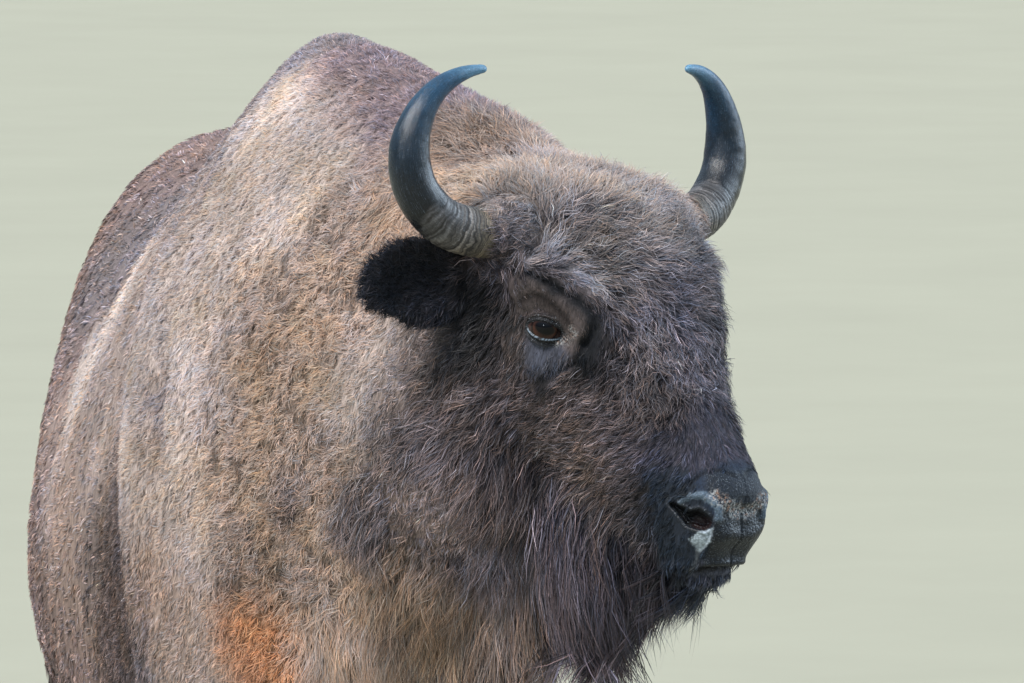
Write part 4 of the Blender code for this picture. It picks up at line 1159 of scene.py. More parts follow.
def atlas(points, normals, low, high):
    """A place on an unwrap of the skin: six sides laid out three by two, each seen straight on."""
    axis = np.abs(normals).argmax(axis=1)
    front = np.take_along_axis(normals, axis[:, None], 1)[:, 0] > 0
    share = (points - low) / (high - low)
    u = np.where(axis == 0, share[:, 1], share[:, 0])
    v = np.where(axis == 2, share[:, 1], share[:, 2])
    return np.stack([(axis + 0.03 + 0.94 * u) / 3, (front + 0.03 + 0.94 * v) / 2], axis=1)


# Where hair stands above the outline: the nape's ruff and the chin's tuft. Place, radius and how much more.
STANDING = ((from_head(CHIN_PLACE), 0.040, 1.6), (np.array(NAPE_PLACE), 0.100, 1.3))


def sample_skin(weights, count):
    """Places spread over the triangles by weight: the triangle of each, and its shares of the corners."""
    sums = np.cumsum(weights)
    at = (np.arange(count) + rng.random(count)) / count * sums[-1]
    face = np.minimum(np.searchsorted(sums, at), len(weights) - 1)
    a, b = rng.random(count), rng.random(count)
    over = a + b > 1
    a[over], b[over] = 1 - a[over], 1 - b[over]
    return face, np.stack([1 - a - b, a, b], axis=1)


class Skin:
    """The skin's triangles as arrays, with the coat's numbers at their corners."""

    def __init__(self, mesh, grow, tone, label):
        mesh.calc_loop_triangles()
        self.triangles = read(mesh.loop_triangles, "vertices", 3, np.int32)
        self.points = coordinates(mesh)
        self.normals = normals_of(mesh)
        self.grow = grow
        self.tone = tone
        self.label = label[self.triangles[:, 0]]
        corner = self.points[self.triangles]
        sides = corner[:, 1:] - corner[:, :1]
        self.areas = np.linalg.norm(np.cross(sides[:, 0], sides[:, 1]), axis=1) / 2
        facing = unit(self.normals[self.triangles].sum(axis=1))
        self.far = ramp(-facing @ TOWARDS_VIEWER, -0.05, 0.45)
        self.tree = BVHTree.FromPolygons(self.points.tolist(), self.triangles.tolist())

    def height(self, point, facing):
        """How far a point stands off the skin, against a facing near it."""
        found = self.tree.find_nearest(Vector(point))
        return max(-0.02, min(0.05, float((Vector(point) - found[0]) @ Vector(facing))))

    def at(self, values, face, share):
        return (values[self.triangles[face]] * share[:, :, None]).sum(axis=1)


WHORL = np.array((0.074, 0.126, 0.022))  # of the head: the hair turns away from it on either side
ROOT_DEPTH = 0.002
PER_CLUMP = 10  # blades
HALF_PATCH = 0.0015  # of a blade's patch in the map OFBake
MOST_TRIANGLES = 190000  # in a piece


def tufts(name, skin, chosen, material, stations=3, hang=0.0):
    """Grows the coat on the chosen triangles, in as many pieces as its triangles need."""
    density = skin.grow[skin.triangles, DENSITY].mean(axis=1) * 1000 * (1 - 0.5 * skin.far)
    weights = skin.areas * density * chosen
    clumps = int(weights.sum() / PER_CLUMP)
    face, part = sample_skin(weights, clumps)
    grow = skin.at(skin.grow, face, part)
    tone = skin.at(skin.tone, face, part)
    root = skin.at(skin.points, face, part)
    normal = unit(skin.at(skin.normals, face, part))

    lie = grow[:, LIE].copy()
    for side in (1, -1):
        away = root - from_head(WHORL * (1, side, 1))
        distance = np.linalg.norm(away, axis=1)
        above_brow = 1 - ramp(to_head(root)[:, 0], 0.078, 0.090)
        swirl = 1.3 * bell(distance, 0.024) * above_brow
        lie += away / np.maximum(distance, 1e-4)[:, None] * swirl[:, None]
    depth, length, width, curl, gather = (grow[:, i] * 0.001 for i in range(5))
    proud = np.ones(clumps)
    for place, radius, extra in STANDING:
        proud += extra * np.exp(-(((root - place) ** 2).sum(axis=1) / radius**2))
    draw, scatter = grow[:, DRAW], grow[:, SCATTER]
    droop = 0.28 * ramp(length, 0.038, 0.050) * (hang == 0)
    lie = unit(lie - normal * (lie * normal).sum(axis=1)[:, None])
    across = np.cross(normal, lie)
    turn = 0.6 * scatter * noise(root, 0.045, 3) + scatter * np.clip(rng.standard_normal(clumps), -2, 2)
    lie = lie * np.cos(turn)[:, None] + across * np.sin(turn)[:, None]
    bend = np.array([skin.height(p, n) for p, n in zip(root + lie * length[:, None], normal)])
    bend = np.clip(bend, -0.4 * length, 0.6 * length)

    woolly = ramp(curl, 0.0014, 0.0022) * ramp(scatter, 0.6, 0.8)
    # Painted shade: the clumps darker in the pits, where the wool dips.
    pits = ramp(noise(root, 0.013, 8), 0.10, 0.65) * woolly
    swell = (1 + 0.16 * noise(root, 0.032, 5) + 0.10 * noise(root, 0.013, 6)) * (1 - 0.45 * pits)
    patch = (1 + 0.10 * noise(root, 0.014, 7) + 0.12 * noise(root, 0.05, 9)) * (1 - 0.60 * pits)
    patch *= np.exp((0.28 - 0.18 * paleness(tone)) * rng.standard_normal(clumps))
    warm = 0.5 * noise(root, 0.06, 15) + 0.5 * noise(root, 0.018, 16)
    tone = tone * (1 + warm[:, None] * np.array((0.07, 0.0, -0.16)))
    shared = rng.standard_normal((clumps, stations, 2)) * (curl[:, None, None] * 0.75)

    n = clumps * PER_CLUMP
    owner = np.repeat(np.arange(clumps), PER_CLUMP)
    normal, lie = normal[owner], lie[owner]
    across = np.cross(normal, lie)
    spot = rng.standard_normal((n, 2)) * (gather[owner] * 0.55)[:, None]
    offset = across * spot[:, :1] + lie * spot[:, 1:]
    base = root[owner] + offset - normal * ROOT_DEPTH
    jitter = 0.5 * scatter[owner] * np.clip(rng.standard_normal(n), -2, 2)
    lie = lie * np.cos(jitter)[:, None] + across * np.sin(jitter)[:, None]
    across = np.cross(normal, lie)
    long = length[owner] * np.exp(0.16 * rng.standard_normal(n))
    rise = np.minimum((depth * swell * proud)[owner] * rng.uniform(0.60, 1.06, n), long * 0.85)
    reach = np.sqrt(np.maximum(long**2 - rise**2, (0.35 * long) ** 2))
    kinks = shared[owner] + rng.standard_normal((n, stations, 2)) * (curl[owner][:, None, None] * 0.38)
    soft = paleness(tone)[owner]
    twist = (0.75 - 0.35 * soft) * rng.standard_normal(n)
    half = width[owner] * (0.5 + 0.2 * skin.far[face][owner]) * rng.uniform(0.7, 1.25, n)
    shade = patch[owner] * np.exp((0.44 - 0.34 * soft) * rng.standard_normal(n))
    shade *= np.where(rng.random(n) < 0.08, 1.8 - 0.6 * soft, 1.0)
    hue = np.clip(rng.standard_normal(n), -1.5, 1.5)[:, None] * np.array((0.12, 0.0, -0.10))
    colour = np.clip(tone[owner] * shade[:, None] * (1 + hue), 0, 0.9)
    # Painted shade at the roots: each blade darker towards its root, and bluer there on dark hair.
    blue_shade = 1 + (1 - soft)[:, None] * np.array((-0.20, 0.0, 0.50))
    root_shade = (0.10 + 0.62 * soft)[:, None] * blue_shade

    t = np.linspace(0, 1, stations)
    centres = np.empty((n, stations, 3))
    for k, at in enumerate(t):
        centre = base + lie * (reach * at**1.1)[:, None]
        sink = bend[owner] * np.minimum(reach / length[owner], 1) ** 2 * at**2
        centre += normal * (rise * (1 - (1 - at) ** 1.7) - sink)[:, None]
        centre -= offset * (draw[owner] * at)[:, None]
        centre += (across * kinks[:, k, :1] + normal * kinks[:, k, 1:] * 0.6) * min(1, at * 1.6)
        centre[:, 2] -= (hang + droop[owner]) * long * at**2
        centres[:, k] = centre
    edge = across * np.cos(twist)[:, None] + normal * np.sin(twist)[:, None]
    ribbons(name, centres, normal, edge, half, colour, root_shade, base, material)


def ribbons(name, centres, normal, edge, half, colour, root_shade, base, material):
    """Tapering blades through the centres, half wide to either side, in pieces of a limited size."""
    n, stations = centres.shape[:2]
    low, high = base.min(axis=0), base.max(axis=0)
    triangles = 2 * (stations - 2) + 1
    pieces = -(-n * triangles // MOST_TRIANGLES)
    t = np.linspace(0, 1, stations)
    order = rng.permutation(n)
    spots = atlas(base, normal, low, high)
    for piece in range(pieces):
        own = order[piece::pieces]
        count = len(own)
        corners = 2 * (stations - 1) + 1
        points = np.empty((count, corners, 3), np.float32)
        colours = np.empty((count, corners, 3), np.float32)
        uvs = np.empty((count, corners, 2), np.float32)
        for k in range(stations):
            taper = (1 - t[k] ** 2) ** 0.7
            wide = edge[own] * (half[own] * taper)[:, None]
            # Each blade darkens towards its root by its root shade: painted shade between the hairs.
            dark = root_shade[own]
            tint = colour[own] * (dark + (1 - dark) * t[k] ** 0.85)
            row = 2 * HALF_PATCH * t[k] - HALF_PATCH
            if k == stations - 1:
                points[:, -1] = centres[own, k]
                colours[:, -1] = tint
                uvs[:, -1] = spots[own] + (0, row)
            else:
                for corner, side in ((2 * k, -1), (2 * k + 1, 1)):
                    points[:, corner] = centres[own, k] + side * wide
                    colours[:, corner] = tint
                    uvs[:, corner] = spots[own] + (side * HALF_PATCH, row)
        quads = [(2 * k, 2 * k + 1, 2 * k + 3, 2 * k + 2) for k in range(stations - 2)]
        tip = (2 * stations - 4, 2 * stations - 3, 2 * stations - 2)
        pattern = np.array([i for quad in quads for i in quad] + list(tip), np.int32)
        loops = (pattern[None, :] + corners * np.arange(count, dtype=np.int32)[:, None]).ravel()
        sizes = np.tile(np.array([4] * len(quads) + [3], np.int32), count)
        mesh = bpy.data.meshes.new(name)
        mesh.vertices.add(count * corners)
        mesh.vertices.foreach_set("co", points.ravel())
        mesh.loops.add(len(loops))
        mesh.loops.foreach_set("vertex_index", loops)
        mesh.polygons.add(len(sizes))
        starts = np.concatenate([[0], np.cumsum(sizes)[:-1]]).astype(np.int32)
        mesh.polygons.foreach_set("loop_start", starts)
        mesh.polygons.foreach_set("loop_total", sizes)
        mesh.update(calc_edges=True)
        uv = mesh.uv_layers.new(name="OFBake")
        uv.data.foreach_set("uv", uvs.reshape(-1, 2)[loops].ravel())
        colour_layer(mesh, "coat", colours.reshape(-1, 3))
        obj = finished(f"{name}_{piece + 1}" if pieces > 1 else name, mesh, material)
        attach(obj, "root")


# ---------------------------------------------------------------- materials


class Look:
    """The nodes of a material or a world. A value given as a socket is linked, any other is set."""

    def __init__(self, owner, last):
        owner.use_nodes = True
        self.owner, self.tree = owner, owner.node_tree
        self.last = self.tree.nodes[last]

    def put(self, target, value):
        if isinstance(value, bpy.types.NodeSocket):
            self.tree.links.new(value, target)
        else:
            target.default_value = value

    def node(self, kind, inputs=None, **settings):
        made = self.tree.nodes.new("ShaderNode" + kind)
        for key, value in settings.items():
            setattr(made, key, value)
        for key, value in (inputs or {}).items():
            self.put(made.inputs[key], value)
        return made

    def ended(self, inputs):
        for key, value in inputs.items():
            self.put(self.last.inputs[key], value)
        return self.owner

    def place(self, space="Object"):
        return self.node("TexCoord").outputs[space]

    def attribute(self, name, socket="Color"):
        return self.node("Attribute", attribute_name=name).outputs[socket]

    def noise(self, vector, scale, detail=3.0, roughness=0.55):
        inputs = {"Vector": vector, "Scale": scale, "Detail": detail, "Roughness": roughness}
        return self.node("TexNoise", inputs).outputs["Fac"]

    def remap(self, value, low, high, to_low=0.0, to_high=1.0):
        inputs = {"Value": value, "From Min": low, "From Max": high, "To Min": to_low, "To Max": to_high}
        return self.node("MapRange", inputs).outputs["Result"]

    def varied(self, noise, to_low, to_high):
        """A noise's usual values as another range."""
        return self.remap(noise, 0.3, 0.7, to_low, to_high)

    def math(self, operation, a, b):
        return self.node("Math", {0: a, 1: b}, operation=operation).outputs[0]

    def plus(self, a, b):
        return self.math("ADD", a, b)

    def minus(self, a, b):
        return self.math("SUBTRACT", a, b)

    def times(self, a, b):
        return self.math("MULTIPLY", a, b)

    def mix(self, share, a, b):
        """Mixes two numbers: the share of b."""
        return self.node("Mix", {"Factor": share, "A": a, "B": b}, data_type="FLOAT").outputs[0]

    def blend(self, share, a, b, kind="MIX"):
        """Mixes two colours: the share of b laid over a."""
        made = self.node("Mix", data_type="RGBA", blend_type=kind)
        for socket, value in (("Factor_Float", share), ("A_Color", a), ("B_Color", b)):
            self.put(next(i for i in made.inputs if i.identifier == socket), value)
        return next(o for o in made.outputs if o.identifier == "Result_Color")

    def lit(self, colour, light):
        """A colour times a number."""
        grey = self.node("CombineColor", {0: light, 1: light, 2: light}).outputs[0]
        return self.blend(1.0, colour, grey, "MULTIPLY")

    def bands(self, value, *stops):
        """The colours of the stops, each given with its place, in order."""
        made = self.node("ValToRGB", {"Fac": value})
        elements = made.color_ramp.elements
        for index, (at, colour) in enumerate((stops[0], stops[-1])):
            elements[index].position, elements[index].color = at, (*colour, 1)
        for at, colour in stops[1:-1]:
            elements.new(at).color = (*colour, 1)
        return made.outputs["Color"]

    def bump(self, height, distance, strength):
        inputs = {"Height": height, "Distance": distance, "Strength": strength}
        return self.node("Bump", inputs).outputs["Normal"]

    def split(self, vector):
        return self.node("SeparateXYZ", {0: vector}).outputs[:]

    def vector(self, x, y=0.0):
        return self.node("CombineXYZ", {0: x, 1: y, 2: 0.0}).outputs[0]

    def length(self, vector):
        return self.node("VectorMath", {0: vector}, operation="LENGTH").outputs["Value"]

    def stretched(self, vector, scale):
        return self.node("Mapping", {"Vector": vector, "Scale": scale}).outputs[0]


def new_look(name, roughness, specular):
    look = Look(bpy.data.materials.new(name), "Principled BSDF")
    look.ended({"Roughness": roughness, "Specular IOR Level": specular})
    return look


def coat_material(name, roughness, specular):
    look = new_look(name, roughness, specular)
    look.ended({"Sheen Weight": 0.10, "Sheen Roughness": 0.45, "Sheen Tint": (0.55, 0.75, 1.0, 1)})
    place = look.place()
    fine = look.varied(look.noise(place, 260, 2.0), 0.80, 1.20)
    broad = look.varied(look.noise(place, 22, 3.0), 0.92, 1.08)
    return look.ended({"Base Color": look.lit(look.attribute("coat"), look.times(fine, broad))})


def skin_material():
    """Fur where the skin is coated; pebbles with painted shade in the grooves between them, specks, crust
    and a wet shine where it is bare.
    """
    look = new_look("skin", 0.8, 0.28)
    place = look.place()
    streak = look.attribute("streak", "Vector")
    bare, crust, wet = look.node("SeparateColor", {0: look.attribute("marks")}).outputs[:3]

    hairs = look.noise(streak, 520, 4.0, 0.65)
    tufted = look.noise(streak, 120, 3.0, 0.6)
    light = look.times(look.remap(hairs, 0.34, 0.70, 0.45, 1.55), look.varied(tufted, 0.75, 1.25))
    furred = look.lit(look.attribute("coat"), light)

    voronoi = look.node("TexVoronoi", {"Vector": place, "Scale": 330.0}, feature="F1")
    pebble = voronoi.outputs["Distance"]
    calm = look.remap(wet, 0.60, 0.75)
    # Painted shade: the bare skin darker in the grooves between its pebbles, except where it is wet.
    pebble_shade = look.mix(calm, look.remap(pebble, 0.0, 0.8, 1.25, 0.55), 1.0)
    specks = look.remap(look.noise(place, 900, 2.0), 0.63, 0.69)
    specks = look.times(specks, look.minus(0.5, look.times(calm, 0.5)))
    smooth = look.blend(specks, look.lit(look.attribute("coat"), pebble_shade), (0.40, 0.45, 0.50, 1))

    flakes = look.noise(place, 420, 4.0, 0.7)
    stops = ((0.48, (0.40, 0.40, 0.40)), (0.66, (0.36, 0.22, 0.16)))
    tint = look.bands(look.noise(place, 190, 2.0), *stops)
    caked = look.times(crust, look.remap(flakes, 0.45, 0.56))
    colour = look.blend(look.times(caked, 0.75), look.blend(bare, furred, smooth), tint)

    gloss = look.remap(wet, 0.0, 1.0, 0.62, 0.16)
    rough = look.mix(caked, look.mix(bare, 0.85, gloss), 0.9)

    hairy = look.times(look.plus(hairs, look.times(tufted, 1.5)), 0.5)
    height = look.mix(bare, hairy, look.minus(1.0, pebble))
    height = look.plus(height, look.times(caked, flakes))
    depth = look.times(look.mix(bare, 0.003, 0.0007), look.minus(1.0, calm))
    normal = look.bump(height, depth, 0.8)
    return look.ended({"Base Color": colour, "Roughness": rough, "Normal": normal})


def horn_material():
    """Grey-tan and ringed at the root, dark slate along the sweep, steel blue at the tip, where the blue is
    a painted reflection.
    """
    look = new_look("horn_look", 0.42, 0.36)
    place = look.place()
    run, round_it = look.split(look.attribute("along", "Vector"))[:2]
    wander = look.plus(run, look.varied(look.noise(place, 34, 3.0), -0.035, 0.035))
    base = look.bands(
        wander,
        (0.0, (0.150, 0.115, 0.062)),
        (0.20, (0.165, 0.135, 0.100)),
        (0.26, (0.165, 0.145, 0.132)),
        (0.34, (0.100, 0.095, 0.096)),
        (0.375, (0.050, 0.048, 0.050)),
        (0.395, (0.004, 0.005, 0.007)),
        (0.43, (0.004, 0.006, 0.009)),
        (0.62, (0.005, 0.012, 0.021)),
        # Bluer towards the tip: a painted reflection.
        (0.84, (0.012, 0.045, 0.088)),
        (1.0, (0.090, 0.200, 0.300)),
    )
    scratches = look.noise(look.vector(look.times(run, 2.2), round_it), 9.0, 6.0, 0.75)
    speckles = look.noise(place, 520, 3.0, 0.7)
    ring_run = look.plus(run, look.varied(look.noise(place, 45, 3.0), -0.012, 0.012))
    rings = look.noise(look.vector(look.times(ring_run, 70.0)), 1.0, 2.0)
    ringed = look.times(look.remap(wander, 0.36, 0.40, 1.0, 0.12), look.remap(rings, 0.43, 0.60, 0.95, 0.0))
    light = look.times(look.varied(scratches, 0.40, 1.75), look.remap(speckles, 0.35, 0.7, 0.75, 1.4))
    colour = look.blend(ringed, look.lit(base, light), (0.016, 0.014, 0.014, 1))
    worn = look.times(look.remap(scratches, 0.57, 0.68), look.remap(speckles, 0.48, 0.60, 0.1, 1.0))
    colour = look.blend(look.times(worn, 0.6), colour, (0.26, 0.31, 0.37, 1))
    rough = look.remap(look.plus(run, look.times(scratches, 0.4)), 0.45, 0.66, 0.50, 0.13)
    height = look.plus(scratches, look.times(speckles, 0.4))
    height = look.minus(height, look.times(ringed, 0.6))
    normal = look.bump(height, 0.0009, 0.6)
    return look.ended({"Base Color": colour, "Roughness": rough, "Normal": normal})


def hoof_material():
    """Dark horn in layers, scuffed paler at the ground."""
    look = new_look("hoof_look", 0.5, 0.4)
    place = look.place()
    layers = look.noise(look.stretched(place, (0.12, 0.12, 1.0)), 420, 3.0, 0.6)
    grain = look.noise(look.stretched(place, (1.0, 1.0, 0.08)), 600, 3.0, 0.6)
    base = look.bands(layers, (0.3, (0.020, 0.017, 0.015)), (0.7, (0.075, 0.062, 0.052)))
    above_ground = look.plus(look.split(place)[2], look.times(grain, 0.012))
    scuffed = look.remap(above_ground, 0.004, 0.022, 1.0, 0.0)
    colour = look.lit(base, look.varied(grain, 0.7, 1.3))
    colour = look.blend(look.times(scuffed, 0.6), colour, (0.13, 0.11, 0.09, 1))
    normal = look.bump(look.plus(layers, look.times(grain, 0.5)), 0.0015, 0.8)
    return look.ended({"Base Color": colour, "Roughness": look.varied(grain, 0.42, 0.62), "Normal": normal})


def eye_material():
    """A wet eye: an oval pupil lying level, an orange-brown iris with a dark rim and painted shade across
    its top under the upper lid, and a brownish white.
    """
    look = new_look("eye_look", 0.05, 0.20)
    x, y = look.split(look.place())[:2]
    oval = look.length(look.vector(look.times(x, 0.55), y))
    away = look.length(look.vector(x, y))
    angle = look.math("ARCTAN2", y, x)
    rays = look.vector(look.times(angle, 6.0), look.times(away, 180.0))
    fibres = look.noise(rays, 2.2, 4.0, 0.7)
    iris = look.bands(
        look.remap(away, 0.0, 0.020),
        (0.18, (0.012, 0.005, 0.004)),
        (0.42, (0.018, 0.008, 0.006)),
        (0.64, (0.045, 0.018, 0.012)),
        (0.74, (0.007, 0.005, 0.005)),
        (0.88, (0.040, 0.022, 0.020)),
    )
    # The iris darker towards its top: painted shade under the upper lid.
    light = look.times(look.varied(fibres, 0.55, 1.5), look.remap(y, -0.004, 0.009, 1.0, 0.22))
    pupil = look.remap(oval, 0.0056, 0.0072, 1.0, 0.0)
    return look.ended({"Base Color": look.blend(pupil, look.lit(iris, light), (0.002, 0.002, 0.003, 1))})


def floor_material():
    look = new_look("pale_floor", 0.85, 0.2)
    mottle = look.varied(look.noise(look.place(), 1.5, 5.0, 0.6), 0.97, 1.03)
    return look.ended({"Base Color": look.lit((0.300, 0.285, 0.215, 1), mottle)})


# ---------------------------------------------------------------- eyes, horns and hooves


CORNEA_REACH, CORNEA_RISE = 27, 0.0011  # degrees and metres
EYE_CLEARANCE = 0.0004  # inside the CAD's ball


def eyeball(name, material):
    """An eye with a bulging cornea, its own Z along its gaze and its X level, towards the inner corner."""
    side = 1 if name == "eye_l" else -1
    bm = bmesh.new()
    bmesh.ops.create_uvsphere(bm, u_segments=64, v_segments=48, radius=EYE_RADIUS)
    for vertex in bm.verts:
        off = math.degrees(math.acos(max(-1, min(1, vertex.co.z / EYE_RADIUS))))
        bulge = CORNEA_RISE * max(0, 1 - (off / CORNEA_REACH) ** 2) ** 2
        vertex.co *= 1 + (bulge - EYE_CLEARANCE) / EYE_RADIUS
    mesh = bpy.data.meshes.new(name)
    bm.to_mesh(mesh)
    bm.free()
    eye = finished("wet_" + name, mesh, material)
    inner, rise, out = eye_axes(side)
    over, lift = math.radians(GAZE_ACROSS), math.radians(GAZE_RISE)
    gaze = unit((out * math.cos(over) + inner * math.sin(over)) * math.cos(lift) + rise * math.sin(lift))
    rise = unit(rise - gaze * (rise @ gaze))
    turn = Matrix((np.cross(rise, gaze), rise, gaze)).transposed().to_4x4()
    eye.matrix_world = Matrix.Translation(Vector(middle_of(name))) @ turn
    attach(eye, "root")
    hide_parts(name)


HORN_START = 0.098  # out from the midplane
HORN_RING, HOOF_RING = 0.0062, 0.0075  # the spacing of growth rings


def horn(name, material):
    """A horn along the CAD's own sweep, with the rings of its root and a crack where they end."""
    side = 1 if name == "horn_l" else -1
    steps, sides = 260, 56
    turn_side, rise = HORN_ARC_CENTRE
    radius = HORN_ARC_RADII[name[-1]]
    straight = turn_side - HORN_START
    run = np.linspace(0, straight + math.pi * radius, steps + 1)
    angle = np.clip((run - straight) / radius, 0, None) - math.pi / 2
    share = run / run[-1]
    wide = radius + np.interp(share, HORN_SHARES, HORN_BULGES)
    out = np.minimum(HORN_START + run, turn_side) + wide * np.cos(angle)
    back = HORN_SET_BACK + HORN_LEAN_BACK * np.cos(angle)
    centres = np.array(
        [from_level(-b, o * side, rise + w * math.sin(a)) for a, o, b, w in zip(angle, out, back, wide)]
    )
    smoothed = [np.convolve(centres[:, k], np.ones(17) / 17, "valid") for k in range(3)]
    centres[8:-8] = np.stack(smoothed, axis=1)
    thickness = np.interp(share, HORN_SHARES, HORN_RADII)
    thickness[12:-12] = np.convolve(thickness, np.ones(25) / 25, "valid")
    facing = np.array((0.55, 0, 0.83)) @ AXES
    along = unit(np.gradient(centres, axis=0))
    across = unit(np.cross(along, facing))
    front = np.cross(across, along)
    turn = np.linspace(0, 2 * math.pi, sides, endpoint=False)
    wheel = np.stack([np.cos(turn), np.sin(turn)], axis=1)
    out_way = across[:, None] * wheel[None, :, :1] + front[:, None] * wheel[None, :, 1:]
    flat = (centres[:, None] + out_way * thickness[:, None, None]).reshape(-1, 3)
    ringed = (ramp(share, 0.06, 0.14) * (1 - ramp(share, 0.33, 0.40)))[:, None]
    sway = noise(flat, 0.030, 21).reshape(steps + 1, sides) * 0.0024
    wave = np.sin((run[:, None] + sway) * 2 * math.pi / HORN_RING)
    swell = 1 + 0.016 * ringed * wave
    swell += 0.020 * noise(flat, 0.022, 22).reshape(steps + 1, sides) * (1 - ramp(share, 0.5, 0.9))[:, None]
    swell += 0.010 * noise(flat, 0.007, 23).reshape(steps + 1, sides)
    crack = (run[:, None] + sway - run[-1] * 0.385) / 0.0016
    swell -= 0.030 * np.exp(-(crack**2)) * ramp(noise(flat, 0.02, 24).reshape(steps + 1, sides), -0.6, 0.3)
    last = np.sqrt(np.clip(1 - ((share - 0.985) / 0.015) ** 2, 0, 1)) * (share > 0.985) + (share <= 0.985)
    swell *= np.maximum(last, 0.05)[:, None]
    points = centres[:, None] + out_way * (thickness[:, None] * swell * 0.985)[:, :, None]
    verts = list(points.reshape(-1, 3)) + [centres[-1]]
    caps = [(steps * sides + j, steps * sides + (j + 1) % sides, len(verts) - 1) for j in range(sides)]
    mesh = ring_mesh(name, verts, steps + 1, sides, caps + [tuple(range(sides))[::-1]])
    over, ahead = np.tile(np.cos(turn), steps + 1), np.tile(np.sin(turn), steps + 1)
    tracks = np.stack([np.repeat(share, sides), over * 2 + ahead * 3, ahead], axis=1)
    vector_layer(mesh, "along", np.vstack([tracks, [(1, 0, 0)]]))
    obj = finished("ringed_" + name, mesh, material)
    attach(obj, "root")
    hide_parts(name)


def hooves(material):
    """All the claws and dewclaws as one piece, their walls rounded and marked by growth rings."""
    names = sorted(n for n in nodes if "claw" in n)
    joined = bmesh.new()
    for name in names:
        claw = new_object("claw", nodes[name].data.copy())
        with editing(claw.data) as bm:
            bmesh.ops.remove_doubles(bm, verts=bm.verts, dist=1e-5)
            bmesh.ops.dissolve_limit(bm, angle_limit=0.02, verts=bm.verts, edges=bm.edges)
            bmesh.ops.triangulate(bm, faces=bm.faces[:])
        fine = claw.modifiers.new("fine", "REMESH")
        fine.mode = "VOXEL"
        fine.voxel_size = 0.0030 if name.startswith("claw") else 0.0022
        smooth = claw.modifiers.new("smooth", "SMOOTH")
        smooth.factor, smooth.iterations = 0.5, 3
        with_modifiers(claw)
        points, facing = coordinates(claw.data), normals_of(claw.data)
        upright = 1 - ramp(np.abs(facing[:, 2]), 0.35, 0.8)
        rings = np.sin(2 * math.pi * (points[:, 2] + 0.002 * noise(points, 0.02, 31)) / HOOF_RING)
        points += facing * (upright * (0.0005 * rings + 0.0005 * noise(points, 0.012, 32)))[:, None]
        points[:, 2] = np.maximum(points[:, 2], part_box(name)[0].z)
        place_vertices(claw.data, points)
        joined.from_mesh(claw.data)
        bpy.data.objects.remove(claw)
    mesh = bpy.data.meshes.new("hooves")
    joined.to_mesh(mesh)
    joined.free()
    obj = finished("hooves", mesh, material)
    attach(obj, "root")
    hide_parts(*names)


# ---------------------------------------------------------------- camera, light and floor

VIEW_DISTANCE = 18.0
AIM_LEFT, AIM_BELOW = 0.0875, 0.1472  # the middle of the picture, from the head's place
SENSOR_WIDTH = 36.0  # in millimetres
METRES_TO_IMAGE = 880.0  # at the head
IMAGE_WIDTH = 1024.0
FLOOR_REACH = 150


def aim(obj, way):
    obj.rotation_mode = "QUATERNION"
    obj.rotation_quaternion = Vector(way).to_track_quat("-Z", "Y")


def studio():
    turn, drop = math.radians(VIEW_TURN), math.radians(VIEW_DROP)
    right = Vector((math.cos(turn), math.sin(turn), 0))
    back = Vector((math.sin(turn) * math.cos(drop), -math.cos(turn) * math.cos(drop), math.sin(drop)))
    up = back.cross(right)
    camera = new_object("camera", bpy.data.cameras.new("camera"))
    target = Vector(HEAD_PLACE) - right * AIM_LEFT - up * AIM_BELOW
    camera.location = target + back * VIEW_DISTANCE
    aim(camera, -back)
    camera.data.sensor_width = SENSOR_WIDTH
    camera.data.lens = SENSOR_WIDTH * VIEW_DISTANCE / (IMAGE_WIDTH / METRES_TO_IMAGE)
    camera.data.clip_end = 500.0
    bpy.context.scene.camera = camera

    for name, way, strength, colour, angle in (
        ("key", right * 0.55 - up * 0.85 - back * 0.65, 4.6, (1.0, 0.96, 0.91), 16),
        ("front", right * 0.34 - up * 0.27 - back * 0.90, 0.5, (0.80, 0.90, 1.0), 8),
        ("edge", -right * 0.85 - up * 0.30 + back * 0.45, 1.6, (0.72, 0.86, 1.0), 30),
        ("rim", -right * 0.95 - up * 0.35 + back * 0.05, 1.5, (0.70, 0.85, 1.0), 50),
    ):
        light = bpy.data.lights.new(name, "SUN")
        light.energy, light.color, light.angle = strength, colour, math.radians(angle)
        aim(new_object(name, light), way)
    world = bpy.data.worlds.new("studio")
    look = Look(world, "Background")
    upward = look.remap(look.split(look.place("Generated"))[2], 0.02, 0.55)
    look.ended({"Color": look.blend(upward, (0.20, 0.25, 0.30, 1), (0.62, 0.80, 1.0, 1)), "Strength": 1.05})
    bpy.context.scene.world = world
    bpy.context.scene.view_settings.view_transform = "Standard"
    bpy.context.scene.view_settings.look = "None"

    mesh = bpy.data.meshes.new("floor")
    corners = [(x * FLOOR_REACH, y * FLOOR_REACH, 0) for x, y in ((-1, -1), (1, -1), (1, 1), (-1, 1))]
    mesh.from_pydata(corners, [], [(0, 1, 2, 3)])
    mesh.materials.append(floor_material())
    new_object("floor", mesh)


# ---------------------------------------------------------------- putting it together

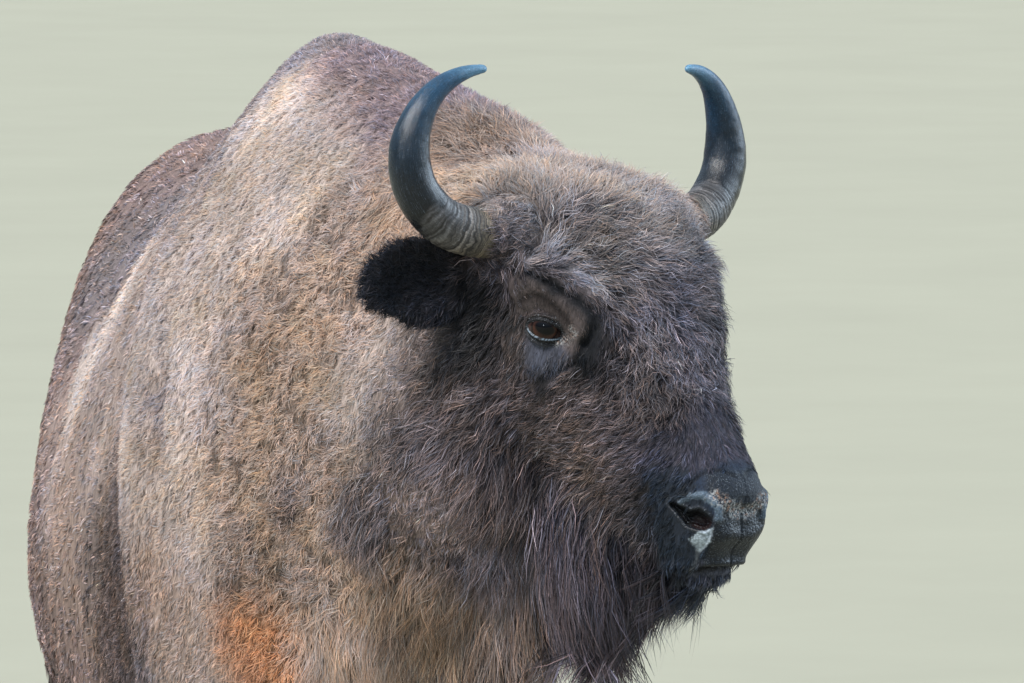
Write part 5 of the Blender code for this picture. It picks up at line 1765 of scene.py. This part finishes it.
skin = skin_mesh()
refine(skin, is_head)
refine(skin, near_any((0.13, 0.13, -0.045, 0.062), (0.40, 0.03, -0.06, 0.085), (0.37, 0.0, -0.12, 0.08)))
eye_spot, nostril_spot = (0.127, 0.122, -0.048, 0.036), (0.395, 0.05, -0.055, 0.034)
refine(skin, near_any(eye_spot, nostril_spot, (0.425, 0, -0.06, 0.045), (0.40, 0.03, -0.105, 0.03)))
refine(skin, near_any((0.127, 0.125, -0.048, 0.030), (0.395, 0.052, -0.052, 0.027)), rounds=1)
grow, label = plan_coat(skin.data)
grow[:, DEPTH] *= 1 - 0.85 * near_pad(coordinates(skin.data))
draw_in(skin, grow)
add_outgrowths(skin)
grow, label = plan_coat(skin.data)
points = coordinates(skin.data)
tone, marks = face_masks(points, grow)
grow[:, DENSITY] *= 1 - ramp(np.maximum(marks[:, 0], marks[:, 1] * 0.8), 0.1, 0.5)
in_fold = np.maximum(fold_at(points, BROW_FOLD, 0.0056), fold_at(points, CREASE, 0.0040))
grow[:, DENSITY] *= 1 - 0.6 * in_fold
grow[:, LENGTH] *= 1 - 0.4 * in_fold
tone = tone * (1 + 0.10 * noise(points, 0.11, 11) + 0.08 * noise(points, 0.04, 12))[:, None]

# Painted shade: the skin under the coat darker where the coat is deeper, as the shade between its hairs.
shade = 0.28 + 0.50 * (1 - ramp(grow[:, DEPTH], 2, 14)) + 0.22 * paleness(tone)
shade = shade + (1 - shade) * marks[:, 0]
colour_layer(skin.data, "coat", tone * shade[:, None])
colour_layer(skin.data, "marks", marks)
along_face = to_head(points)
fall = unit(np.array((0.5, 0.0, -0.87)))
streak_head = along_face - fall * (0.86 * (along_face @ fall))[:, None]
streak_body = points * (1, 1, 0.14)
near_head = ramp(along_face[:, 0], -0.16, -0.10)[:, None]
vector_layer(skin.data, "streak", streak_head * near_head + streak_body * (1 - near_head))
skin.data.shade_smooth()
skin.data.materials.clear()
skin.data.materials.append(skin_material())
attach(skin, "root")
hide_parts(*FLESH, *HANGING, *EARS)

coat, plush = coat_material("coat", 0.55, 0.22), coat_material("plush", 0.75, 0.18)
hide = Skin(skin.data, grow, tone, label)
order = FLESH + HANGING + EARS


def labelled(*names):
    return np.isin(hide.label, [order.index(name) for name in names])


tufts("coat_head", hide, labelled("head"), coat, stations=4)
tufts("coat_ears", hide, labelled(*EARS), coat)
for name in ("neck", "trunk", "tail"):
    tufts("coat_" + name, hide, labelled(name), plush)
for name in ("foreleg_l", "foreleg_r", "hind_leg_l", "hind_leg_r"):
    tufts("coat_" + name, hide, labelled(name), plush)
HANGS = {"beard": ("beard", 0.25), "mane": ("throat_mane", 0.25), "tail_tuft": ("tail_tuft", 0.2)}
for name, (part, hang) in HANGS.items():
    tufts("coat_" + name, hide, labelled(part), coat, stations=6, hang=hang)

eye_look = eye_material()
eyeball("eye_l", eye_look)
eyeball("eye_r", eye_look)
horn_look = horn_material()
horn("horn_l", horn_look)
horn("horn_r", horn_look)
hooves(hoof_material())
studio()
